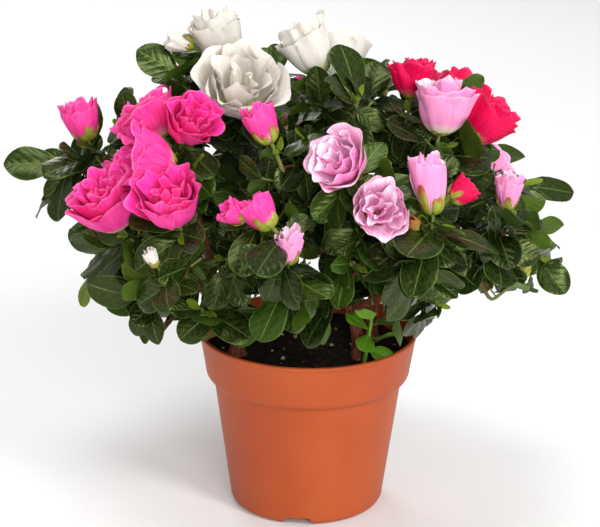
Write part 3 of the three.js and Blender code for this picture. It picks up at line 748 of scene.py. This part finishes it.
def lathe(name, profile, relief=None):
    """A solid of revolution. The profile starts and ends on the axis."""
    turn = np.arange(POT_SEGMENTS) * 2 * math.pi / POT_SEGMENTS
    rings = [np.stack([r * np.cos(turn), r * np.sin(turn), 0 * turn + z], axis=1) for r, z in profile[1:-1]]
    points = np.concatenate(rings)
    if relief:
        points[:, 2] += [relief(Vector(p)) for p in points]
    faces = [face for block in wrap(len(rings), POT_SEGMENTS)[:3] for face in block.tolist()]
    ends = [(0, 0, profile[0][1]), (0, 0, profile[-1][1])]
    return solid(name, np.concatenate([points, ends]), faces)


def prism(name, ends, index):
    """A solid between two like rings of points, turned to the place of one of the notches."""
    sides = len(ends[0])
    faces = [list(range(sides - 1, -1, -1)), list(range(sides, 2 * sides))]
    for i in range(sides):
        following = (i + 1) % sides
        faces.append([i, following, following + sides, i + sides])
    made = solid(name, ends[0] + ends[1], faces)
    made.data.transform(Matrix.Rotation(NOTCH["first"] + index * 2 * math.pi / NOTCH["count"], 4, "Z"))
    return made


def pocket(index, grow):
    """The tapered drain pocket that notches the pot's bottom edge, grown all round by some thickness."""
    wide = NOTCH["width"] / 2 + grow
    narrow = NOTCH["top"] / 2 + grow
    high = NOTCH["height"] + grow
    outline = [(-wide, -1), (wide, -1), (wide, 0), (narrow, high), (-narrow, high), (-wide, 0)]
    reach = (POT["foot"] - NOTCH["depth"] - grow, POT["foot"] + 10)
    return prism("pocket", [[(x, y, z) for y, z in outline] for x in reach], index)


def drain_hole(index):
    turns = np.arange(24) * math.pi / 12
    ring = [(NOTCH["hole_at"] + NOTCH["hole"] * math.cos(t), NOTCH["hole"] * math.sin(t)) for t in turns]
    return prism("drain_hole", [[(x, y, z) for x, y in ring] for z in (-10, 10)], index)


def carve(body, operation, tools):
    """Joins, cuts or keeps what a body shares with some tools, which are then removed."""
    for tool in tools:
        change = body.modifiers.new("change", "BOOLEAN")
        change.operation = operation
        change.solver = "EXACT"
        change.object = tool
    bpy.context.view_layer.update()
    made = bpy.data.meshes.new_from_object(body.evaluated_get(bpy.context.evaluated_depsgraph_get()))
    body.modifiers.clear()
    body.data = made
    for tool in tools:
        bpy.data.objects.remove(tool)


def make_pot():
    outside, inside = pot_outline(0), pot_outline(POT["wall"])
    pot = lathe("moulded_pot", [(0, 0), *outside, *inside[::-1], (0, POT["wall"])])
    envelope = [(0, 0), *outside, (0, POT["height"])]
    roofs = [pocket(i, POT["wall"]) for i in range(NOTCH["count"])]
    for roof in roofs:
        carve(roof, "INTERSECT", [lathe("envelope", envelope)])
    carve(pot, "UNION", roofs)
    holes = [drain_hole(i) for i in range(NOTCH["count"])]
    carve(pot, "DIFFERENCE", [pocket(i, 0) for i in range(NOTCH["count"])] + holes)
    dress(pot, pot_material(), ["pot"], 30)


def soil_relief(point):
    """How far the soil's top stands above or below its level: swells, lumps and grit."""
    if point.z < SOIL_TOP - 0.01:
        return 0.0
    return sum(noise.noise(point * close) * high for close, high in SWELLS)


def make_soil():
    """The soil that fills the pot. Gives back the radius of its top."""
    inset = POT["wall"] + CLEAR
    side = pot_outline(inset)
    above, below = side.pop(), side[-1]
    share = (SOIL_TOP - below[1]) / (above[1] - below[1])
    edge = lerp(below[0], above[0], share)
    rings = [(edge * (1 - (k / SOIL_RINGS) ** 1.2), SOIL_TOP) for k in range(SOIL_RINGS)]
    soil = lathe("potting_soil", [(0, inset), *side, *rings, (0, SOIL_TOP)], soil_relief)
    carve(soil, "DIFFERENCE", [pocket(i, inset) for i in range(NOTCH["count"])])
    dress(soil, soil_material("potting_soil"), ["soil"], 60)
    return edge


def add_lump(piece, centre, radius, height, draw):
    """A small rough grain."""
    rows, sides = 5, 7
    shake = [lerp(0.8, 1.2, draw()) for _ in range(rows * sides)]

    def relief(angle, share, _):
        return shake[int(share * (rows - 1) + 0.5) * sides + int(angle)] - 1

    turns = [math.pi * (k + 0.5) / rows for k in range(rows)]
    path = [vec(centre) + UP * height * -math.cos(turn) for turn in turns]
    add_tube(piece, path, [radius * math.sin(turn) for turn in turns], sides, relief)


def make_grains(edge):
    """Crumbs of peat and grains of perlite, half sunk in the soil's top."""
    draw = seeded(GRAIN_SEED)
    for name, count, size, kind in GRAINS:
        piece = Piece()
        for _ in range(count):
            out = (edge - 3) * math.sqrt(draw())
            turn = draw() * 2 * math.pi
            radius = lerp(*size, draw() ** 2)
            place = Vector((out * math.cos(turn), out * math.sin(turn), SOIL_TOP))
            place.z += soil_relief(place) + radius * 0.2
            add_lump(piece, place, radius, radius * lerp(0.6, 0.9, draw()), draw)
        piece.made(name, soil_material(kind), "soil")


# ---- materials
# Each green: a leaf's upper side, its veins and rim, its under side, and how rough it is.
GREENS = {
    "dark": ((15, 29, 3), (104, 126, 58), (70, 94, 28), 0.29),
    "deep": ((8, 18, 2), (88, 108, 54), (58, 82, 26), 0.26),
    "mid": ((25, 48, 5), (112, 138, 56), (86, 114, 34), 0.3),
    "fresh": ((90, 112, 22), (154, 172, 70), (126, 148, 52), 0.45),
    "young": ((80, 134, 20), (156, 196, 84), (126, 172, 62), 0.32),
}
# Each flower colour: a petal's outer and inner side, its foot outside and throat inside, its veins, and how
# far its rim pales. The inner side is partly painted light: for pink, blush and white it is set lighter than
# the outer side to offset the shade inside the cup, blush's nearly to white.
PETALS = {
    "pink": ((240, 74, 158), (255, 72, 180), (250, 184, 180), (222, 12, 100), (236, 24, 120), 0.05),
    "blush": ((240, 142, 188), (255, 230, 250), (250, 234, 206), (250, 110, 178), (252, 158, 208), 0.2),
    "crimson": ((234, 12, 84), (240, 4, 72), (238, 120, 116), (168, 2, 40), (208, 2, 56), 0.02),
    "white": ((224, 217, 208), (236, 230, 222), (208, 214, 126), (220, 222, 140), (216, 209, 194), 0.1),
}
PALE_RIM = (255, 244, 250)
SIDE_VEINS, VEIN_SLANT = 7.5, 0.26  # of a leaf: how many to its length, and how steeply they leave the midrib
PETAL_VEINS = 34  # how close together
SCALE_GREEN, SCALE_RIPE = (142, 156, 50), (152, 74, 28)
BARK_DARK, BARK_LIGHT, BARK_FLECK, TWIG_TIP = (70, 30, 16), (146, 72, 38), (176, 118, 78), (112, 118, 54)
POT_DARK, POT_LIGHT = (164, 68, 26), (176, 80, 34)
# What the pot is filled with: its darker and its lighter colour, and how rough it is.
SOILS = {
    "potting_soil": ((13, 8, 5), (42, 27, 18), 0.95),
    "peat": ((18, 10, 6), (56, 34, 22), 0.95),
    "perlite": ((112, 112, 78), (184, 184, 152), 0.9),
}


def rgb(colour):
    """A colour as a screen shows it, each part from 0 to 255, turned into light."""
    shares = [value / 255 for value in colour]
    return (*(s / 12.92 if s <= 0.04045 else ((s + 0.055) / 1.055) ** 2.4 for s in shares), 1.0)


class Finish:
    """One material. Its helpers take a socket or a value, and give back a socket."""

    def __init__(self, name, settings):
        self.material = bpy.data.materials.new(name)
        self.material.use_nodes = True
        self.tree = self.material.node_tree
        self.shader = self.tree.nodes["Principled BSDF"]
        for socket, value in settings.items():
            self.shader.inputs[socket].default_value = value

    def put(self, socket, value):
        if isinstance(value, bpy.types.NodeSocket):
            self.tree.links.new(value, socket)
        else:
            socket.default_value = value

    def math(self, operation, *values):
        node = self.tree.nodes.new("ShaderNodeMath")
        node.operation = operation
        for socket, value in zip(node.inputs, values):
            self.put(socket, value)
        return node.outputs[0]

    def times(self, value, share):
        return self.math("MULTIPLY", value, share)

    def step(self, value, low, high):
        """0 below low and 1 above high, or the other way round, smoothly between them."""
        node = self.tree.nodes.new("ShaderNodeMapRange")
        node.interpolation_type = "SMOOTHSTEP"
        for socket, given in zip(("Value", "From Min", "From Max"), (value, low, high)):
            self.put(node.inputs[socket], given)
        return node.outputs[0]

    def mix(self, share, first, second):
        node = self.tree.nodes.new("ShaderNodeMix")
        node.data_type = "RGBA"
        self.put(node.inputs[0], share)
        self.put(node.inputs[6], first)
        self.put(node.inputs[7], second)
        return node.outputs[2]

    def place(self, x, y, z=0.0):
        node = self.tree.nodes.new("ShaderNodeCombineXYZ")
        for socket, value in zip(node.inputs, (x, y, z)):
            self.put(socket, value)
        return node.outputs[0]

    def pattern(self):
        """The two sides of the pattern square."""
        uv = self.tree.nodes.new("ShaderNodeUVMap")
        uv.uv_map = "OFBake"
        node = self.tree.nodes.new("ShaderNodeSeparateXYZ")
        self.put(node.inputs[0], uv.outputs[0])
        return node.outputs[0], node.outputs[1]

    def object_place(self):
        return self.tree.nodes.new("ShaderNodeTexCoord").outputs["Object"]

    def noise(self, place, scale, detail=3.0):
        node = self.tree.nodes.new("ShaderNodeTexNoise")
        self.put(node.inputs["Vector"], place)
        self.put(node.inputs["Scale"], scale)
        self.put(node.inputs["Detail"], detail)
        return node.outputs[0]

    def done(self, colour, roughness=None, height=None, strength=0.3, reach=0.5 * MM):
        self.put(self.shader.inputs["Base Color"], colour)
        if roughness is not None:
            self.put(self.shader.inputs["Roughness"], roughness)
        if height is not None:
            node = self.tree.nodes.new("ShaderNodeBump")
            self.put(node.inputs["Height"], height)
            node.inputs["Strength"].default_value = strength
            node.inputs["Distance"].default_value = reach
            self.put(self.shader.inputs["Normal"], node.outputs[0])
        return self.material


def leaf_material(tint):
    """A leaf's upper side has a pale midrib, side veins and rim. Its under side is paler and duller."""
    *colours, roughness = GREENS[tint]
    face, vein, under = map(rgb, colours)
    finish = Finish(f"leaf_{tint}", {"Specular IOR Level": 0.5, "Specular Tint": (0.8, 1.0, 0.36, 1.0)})
    x, along = finish.pattern()
    doubled = finish.times(x, 2.0)
    below = finish.math("GREATER_THAN", doubled, 1.0)
    aside = finish.math("ABSOLUTE", finish.math("MULTIPLY_ADD", finish.math("FRACT", doubled), 2.0, -1.0))
    midrib = finish.step(aside, 0.06, 0.015)
    slant = finish.math("MULTIPLY_ADD", aside, -VEIN_SLANT, along)
    comb = finish.math("PINGPONG", finish.times(slant, SIDE_VEINS), 0.5)
    veins = finish.times(finish.step(comb, 0.07, 0.0), finish.step(aside, 0.95, 0.4))
    rim = finish.step(aside, 0.93, 0.99)
    mottle = finish.noise(finish.place(doubled, along), 13.0, 4.0)
    grain = finish.noise(finish.place(doubled, finish.times(along, 2.0)), 42.0, 2.0)
    patch = [lerp(a, b, 0.1) for a, b in zip(face, vein)]
    shaded = finish.mix(finish.step(mottle, 0.35, 0.7), face, patch)
    lines = finish.math("MAXIMUM", finish.times(midrib, 0.55), finish.times(veins, 0.16))
    lines = finish.math("MAXIMUM", lines, finish.times(rim, 0.6))
    upper = finish.mix(lines, shaded, vein)
    lower = finish.mix(finish.times(lines, 0.6), under, [min(1.0, c * 1.5) for c in under])
    colour = finish.mix(below, upper, lower)
    rough = finish.math("MULTIPLY_ADD", mottle, 0.22, roughness - 0.11)
    rough = finish.math("MULTIPLY_ADD", below, 0.25, rough)
    puff = finish.times(finish.step(comb, 0.0, 0.4), 0.5)  # between the side veins
    height = finish.math("SUBTRACT", finish.math("MULTIPLY_ADD", mottle, 0.35, puff), midrib)
    height = finish.math("MULTIPLY_ADD", grain, 0.3, height)
    return finish.done(colour, rough, height, 0.45, 0.45 * MM)


def petal_material(colour_name):
    """A petal has fine veins along it, its own colours at the foot and in the throat, and a pale rim; its
    inner side is partly painted light.
    """
    *colours, pale = PETALS[colour_name]
    outer, inner, foot, throat, vein = map(rgb, colours)
    finish = Finish(f"petal_{colour_name}", {
        "Roughness": 0.55, "Specular IOR Level": 0.16, "Subsurface Weight": 0.25,
        "Subsurface Radius": (1.0, 0.7, 0.8), "Subsurface Scale": 2.0 * MM,
    })
    x, along = finish.pattern()
    doubled = finish.times(x, 2.0)
    within = finish.math("GREATER_THAN", doubled, 1.0)
    streak = finish.noise(finish.place(finish.times(doubled, PETAL_VEINS), along), 1.3, 2.0)
    lines = finish.times(finish.step(streak, 0.49, 0.62), 0.75)
    cloud = finish.noise(finish.place(doubled, along), 3.2, 2.0)
    # the inner side is partly painted light: lighter than the outer for pink, blush and white, to offset the
    # shade inside the cup
    body = finish.mix(within, outer, inner)
    body = finish.mix(finish.times(finish.step(cloud, 0.62, 0.35), 0.35), body, vein)
    body = finish.mix(lines, body, vein)
    base = finish.mix(within, foot, throat)
    colour = finish.mix(finish.step(along, 0.34, 0.04), body, base)
    rim = finish.times(finish.step(along, 0.93, 1.0), pale)
    colour = finish.mix(rim, colour, rgb(PALE_RIM))
    height = finish.math("ADD", streak, finish.times(cloud, 0.8))
    return finish.done(colour, None, height, 0.4, 0.5 * MM)


def scale_material():
    """Bud scales: yellow green, and brown or orange at their tips."""
    finish = Finish("bud_scales", {"Roughness": 0.5})
    x, along = finish.pattern()
    blotch = finish.noise(finish.place(finish.times(x, 8.0), along), 3.0)
    ripe = finish.step(finish.math("MULTIPLY_ADD", blotch, 0.7, along), 0.9, 1.3)
    colour = finish.mix(ripe, rgb(SCALE_GREEN), rgb(SCALE_RIPE))
    return finish.done(colour, None, blotch, 0.3, 0.3 * MM)


def wood_material(name, young, roughness, relief):
    """Bark, streaked along the limb. On a twig it turns green towards the tip."""
    finish = Finish(name, {})
    x, along = finish.pattern()
    turn = finish.times(x, 2 * math.pi)
    around_x, around_y = finish.math("COSINE", turn), finish.math("SINE", turn)
    long_place = finish.place(around_x, around_y, finish.times(along, 2.5))
    streak = finish.noise(long_place, 3.2, 5.0)
    fleck = finish.noise(finish.place(around_x, around_y, finish.times(along, 14.0)), 2.6, 3.0)
    bark = finish.mix(finish.step(streak, 0.34, 0.66), rgb(BARK_DARK), rgb(BARK_LIGHT))
    bark = finish.mix(finish.times(finish.step(fleck, 0.58, 0.72), 0.6), bark, rgb(BARK_FLECK))
    if young:
        bark = finish.mix(finish.step(along, 0.35, 0.85), bark, rgb(TWIG_TIP))
    height = finish.math("MULTIPLY_ADD", fleck, 0.6, streak)
    return finish.done(bark, roughness, height, 0.6, relief)


def pot_material():
    finish = Finish("terracotta_plastic", {"Specular IOR Level": 0.3})
    place = finish.object_place()
    cloud = finish.noise(place, 16.0, 4.0)
    grain = finish.noise(place, 900.0, 2.0)
    colour = finish.mix(finish.step(cloud, 0.3, 0.7), rgb(POT_DARK), rgb(POT_LIGHT))
    rough = finish.math("MULTIPLY_ADD", cloud, 0.16, 0.4)
    return finish.done(colour, rough, finish.math("MULTIPLY_ADD", grain, 0.25, cloud), 0.12, 0.3 * MM)


def soil_material(kind):
    dark, light, roughness = SOILS[kind]
    finish = Finish(kind, {"Specular IOR Level": 0.25})
    place = finish.object_place()
    lumps = finish.noise(place, 260.0, 6.0)
    colour = finish.mix(finish.step(lumps, 0.4, 0.68), rgb(dark), rgb(light))
    return finish.done(colour, roughness, lumps, 0.9, 0.8 * MM)


# ---- the crown's pieces
def bark_relief(seed):
    """Shallow ridges that wind a little along a limb, and low knots."""
    def relief(angle, share, point):
        ridge = noise.noise(Vector((math.cos(angle) * 1.6 + seed, math.sin(angle) * 1.6, share * 3.2)))
        knot = noise.noise(Vector((math.cos(angle) * 0.8, math.sin(angle) * 0.8 + seed, point[2] * 0.11)))
        return 0.16 * ridge + 0.14 * knot
    return relief


def tapered(path, radius, flare=0.0):
    """The radius at each point of a path, with a flare at its foot."""
    shares = [k / (len(path) - 1) for k in range(len(path))]
    return [lerp(*radius, share) + flare * math.exp(-9 * share) for share in shares]


def refined(path, steps):
    """More points on a path, on a smooth way through it."""
    return [part_way(path, k / steps)[0] for k in range(steps + 1)]


def make_bark(crown):
    bark = Piece()
    for number, (foot, fork, radius) in enumerate(STEMS.values()):
        path = refined(stem_path(foot, fork), 26)
        add_tube(bark, path, tapered(path, radius, 2.0), 22, bark_relief(number * 7))
    for number, mass in enumerate(crown):
        path = refined(mass["bough"], 18)
        add_tube(bark, path, tapered(path, BOUGH), 14, bark_relief(number * 5 + 3))
    replaced = [f"stem_{name}" for name in STEMS] + [f"bough_{mass['name']}" for mass in crown]
    bark.made("bark", wood_material("bark", False, 0.8, 0.8 * MM), "bark", replaced)


LEAF_TINTS = ("dark", "dark", "deep", "mid", "dark", "deep", "dark", "mid")  # dealt out shoot by shoot
PALE = dict(below=165, share=0.12)  # some of the lowest leaves are pale instead


def flower_seed(flower):
    """A seed of a flower's own, from its place."""
    x, y, z = flower["centre"]
    return int(abs(x * 131 + y * 17 + z * 7)) + 1


def add_flower(pieces, flower):
    draw = seeded(flower_seed(flower))
    flower = {**flower, "turn": draw() * 6.3}
    if flower["colour"] == "green":
        add_whorls(pieces["scales"], flower, WHORLS["green"], draw, SCALE)
        return
    opened = flower["stage"] == "bloom" and flower["colour"] in OPEN_COLOURS
    size = PETAL if flower["stage"] == "bloom" else BUD_PETAL
    add_whorls(pieces[flower["colour"]], flower, WHORLS["open" if opened else flower["stage"]], draw, size)
    base = flower["base"] - flower["face"] * flower["depth"] * 0.03
    add_whorls(pieces["scales"], {**flower, "base": base}, CALYX[flower["stage"]], draw, SCALE)


def clear_of_flowers(points, flowers):
    """Whether no point is inside a flower's cup."""
    for flower in flowers:
        from_base = points - flower["base"]
        height = from_base @ flower["face"]
        out = np.linalg.norm(from_base - np.outer(height, flower["face"]), axis=1)
        share = np.clip(height / flower["depth"], 0, 1)
        cup = flower["radius"] * 1.08 * np.sin(math.pi / 2 * share ** 0.6) + 1
        if np.any((height > -1) & (height < flower["depth"] + 3) & (out < cup)):
            return False
    return True


def fitted(leaves, flowers):
    """The leaves, each shortened until it clears the flowers and the crown's lower edge, or left out."""
    kept = []
    for leaf in leaves:
        for share in (1, 0.85, 0.7):
            shorter = {**leaf, "length": leaf["length"] * share, "half": leaf["half"] * (0.4 + 0.6 * share)}
            points = leaf_test_points(shorter)
            if hangs_high(points) and clear_of_flowers(points, flowers):
                kept.append(shorter)
                break
    return kept


def add_bracts(pieces, shoot, seed, flowers):
    """Young leaves that stand up round a shoot's tip."""
    draw = seeded(seed)
    for i in range(BRACT["count"] if shoot["flower"] else BRACT["count"] - 1):
        leaf = leaf_of(shoot, i, 0, draw, BRACT)
        leaf["along"] = unit(leaf["along"] + shoot["axis"] * lerp(0.3, 1.1, draw()))
        leaf["upper"] = unit(shoot["axis"] - leaf["along"] * (shoot["axis"] @ leaf["along"]))
        if clear_of_flowers(leaf_test_points(leaf), flowers):
            add_leaf(pieces["fresh"], leaf, draw)


def grow_mass(mass, index, crown, limbs, flowers, pieces):
    """One mass's leaves where the solids have them, then its twigs, flowers, bracts and finer sprigs."""
    placed = []
    lead = mass["lead"]
    lead["fine"] = fine_twig(lead, None)
    bend = seeded(SEED + index)

    def keeps(points):
        return keeps_to(mass, points, crown, limbs)

    for k, shoot in enumerate(mass["shoots"]):
        leaves = fitted(leaves_of(shoot, SEED + index * 100 + k, LEAF, keeps, placed), flowers)
        shoot["tint"] = LEAF_TINTS[(index * 3 + k) % len(LEAF_TINTS)]
        shoot["bare"] = not leaves and not shoot["flower"]
        for leaf in leaves:
            pale = leaf["root"][2] < PALE["below"] and bend() < PALE["share"]
            add_leaf(pieces["fresh" if pale else shoot["tint"]], leaf, bend)
        if shoot is not lead:
            shoot["fine"] = fine_twig(shoot, lead["fine"])
        if shoot["bare"] and shoot is not lead:
            continue
        add_tube(pieces["twigs"], shoot["fine"], tapered(shoot["fine"], LEADER if shoot is lead else SIDE), 8)
        if shoot["flower"]:
            add_flower(pieces, shoot["flower"])
    for k, shoot in enumerate(mass["shoots"]):
        if shoot["bare"]:
            continue
        add_bracts(pieces, shoot, SEED + index * 100 + k + 50, flowers)
        for i, sprig in enumerate(sprigs_of(shoot)):
            if depth_in_crown(sprig["whorl"]) > depth_in_crown(shoot["whorl"]) + 0.02:
                continue
            seed = SPRIG_SEED + index * 1000 + k * 10 + i
            leaves = fitted(leaves_of(sprig, seed, SPRIG_LEAF, keeps, placed), flowers)
            if not leaves:
                continue
            twig = [lerp(sprig["root"], sprig["whorl"], share) for share in (0, 0.5, 1)]
            add_tube(pieces["twigs"], twig, tapered(twig, SPRIG["radius"]), 6)
            for leaf in leaves:
                add_leaf(pieces[shoot["tint"]], leaf, bend)


def grow_young_shoot(pieces, limbs, bark_balls):
    """The green shoot from the soil. Its leaves join the limbs that the crown's leaves keep off."""
    tip, foot = vec(YOUNG_TIP), vec((*YOUNG_FOOT, SOIL_TOP + CLEAR))
    shoot = dict(whorl=tip, axis=unit(tip - foot))

    def keeps(points):
        return clear_of_pot(points) and nearest_ball(bark_balls, points).min() > SPACE["margin"]

    bend = seeded(3)
    for leaf in leaves_of(shoot, YOUNG_SEED, YOUNG_LEAF, keeps, []):
        add_leaf(pieces["young"], {**leaf, "half": leaf["half"] * YOUNG_WIDER}, bend)
        skin = [leaf_point(leaf, 0, 0, 0), *leaf_test_points(leaf)]
        limbs.extend((*point, 2) for point in skin)
    path = refined([foot, lerp(foot, tip, 0.5), tip], 8)
    add_tube(pieces["young"], path, tapered(path, YOUNG_RADIUS), 8)


def make_crown():
    crown = plan_crown()
    for mass in crown:
        plan_wood(mass)
    for mass in crown:
        mass["balls"] = balls_of(mass)
    limbs = []
    for name, (foot, fork, _) in STEMS.items():
        limbs.extend(balls_along(stem_path(foot, fork)))
        for mass in crown:
            if mass["stem"] == name:
                limbs.extend(balls_along(mass["bough"]))
    pieces = {name: Piece() for name in (*GREENS, "twigs", "scales", *PETALS)}
    grow_young_shoot(pieces, limbs, np.array(limbs))
    flowers = [shoot["flower"] for mass in crown for shoot in mass["shoots"] if shoot["flower"]]
    for index, mass in enumerate(crown):
        grow_mass(mass, index, crown, np.array(limbs), flowers, pieces)
    make_bark(crown)
    foliage = [f"foliage_{mass['name']}" for mass in crown]
    for tint in ("dark", "deep", "mid", "fresh"):
        pieces[tint].made(f"leaves_{tint}", leaf_material(tint), "foliage", foliage)
    pieces["young"].made("young_leaves", leaf_material("young"), "young_foliage", ["young_shoot"])
    pieces["twigs"].made("twigs", wood_material("twig_bark", True, 0.7, 0.4 * MM), "bark")
    pieces["scales"].made("bud_scales", scale_material(), "foliage")
    for colour in PETALS:
        pieces[colour].made(f"petals_{colour}", petal_material(colour), None)


# ---- camera, light and floor
# The camera stands at eye height by a table, and is turned a little about its own line of sight.
CAMERA = dict(stand=(-0.0053, -1.2292, 0.5725), aim=(-0.0053, 0.0, 0.1493), lens=131.8, sensor=36, turned=0.6)
# Each light is a disc: its place, how wide it is, and its power.
LIGHTS = {
    "key": ((1.1, -1.4, 1.5), 0.6, 24),
    "front": ((0.5, -2.2, 0.9), 1.2, 30),
    "fill": ((-1.6, -1.4, 0.8), 1.4, 3),
    "top": ((-0.2, -0.2, 2.0), 1.0, 14),
    "back": ((-0.6, 1.6, 1.2), 1.0, 12),
}
LIT = (0, 0, 0.16)  # the point that the lights face
SKY = 0.45  # the strength of the even white light from all round
FLOOR = dict(half=6000, grey=0.86, roughness=0.9)


def aimed(name, data, stand, aim):
    """A camera or light that stands at one point and faces another."""
    made = bpy.data.objects.new(name, data)
    made.location = stand
    made.rotation_mode = "QUATERNION"
    made.rotation_quaternion = (Vector(aim) - Vector(stand)).to_track_quat("-Z", "Y")
    bpy.context.scene.collection.objects.link(made)
    return made


def make_camera():
    data = bpy.data.cameras.new("camera")
    data.lens = CAMERA["lens"]
    data.sensor_width = CAMERA["sensor"]
    camera = aimed("camera", data, CAMERA["stand"], CAMERA["aim"])
    turned = Matrix.Rotation(CAMERA["turned"] * DEGREE, 3, "Z").to_quaternion()
    camera.rotation_quaternion = camera.rotation_quaternion @ turned
    bpy.context.scene.camera = camera


def make_lights():
    for name, (stand, size, power) in LIGHTS.items():
        data = bpy.data.lights.new(name, "AREA")
        data.shape = "DISK"
        data.size = size
        data.energy = power
        aimed(name, data, stand, LIT)
    world = bpy.data.worlds.new("studio")
    world.use_nodes = True
    world.node_tree.nodes["Background"].inputs["Color"].default_value = (1, 1, 1, 1)
    world.node_tree.nodes["Background"].inputs["Strength"].default_value = SKY
    bpy.context.scene.world = world
    bpy.context.scene.view_settings.view_transform = "Standard"


def make_floor():
    half, grey = FLOOR["half"], FLOOR["grey"]
    finish = Finish("pale_floor", {"Base Color": (grey, grey, grey, 1), "Roughness": FLOOR["roughness"]})
    corners = [(-half, -half, 0), (half, -half, 0), (half, half, 0), (-half, half, 0)]
    floor = solid("floor", corners, [[0, 1, 2, 3]])
    floor.data.materials.append(finish.material)


make_camera()
make_lights()
make_floor()
make_pot()
make_grains(make_soil())
make_crown()
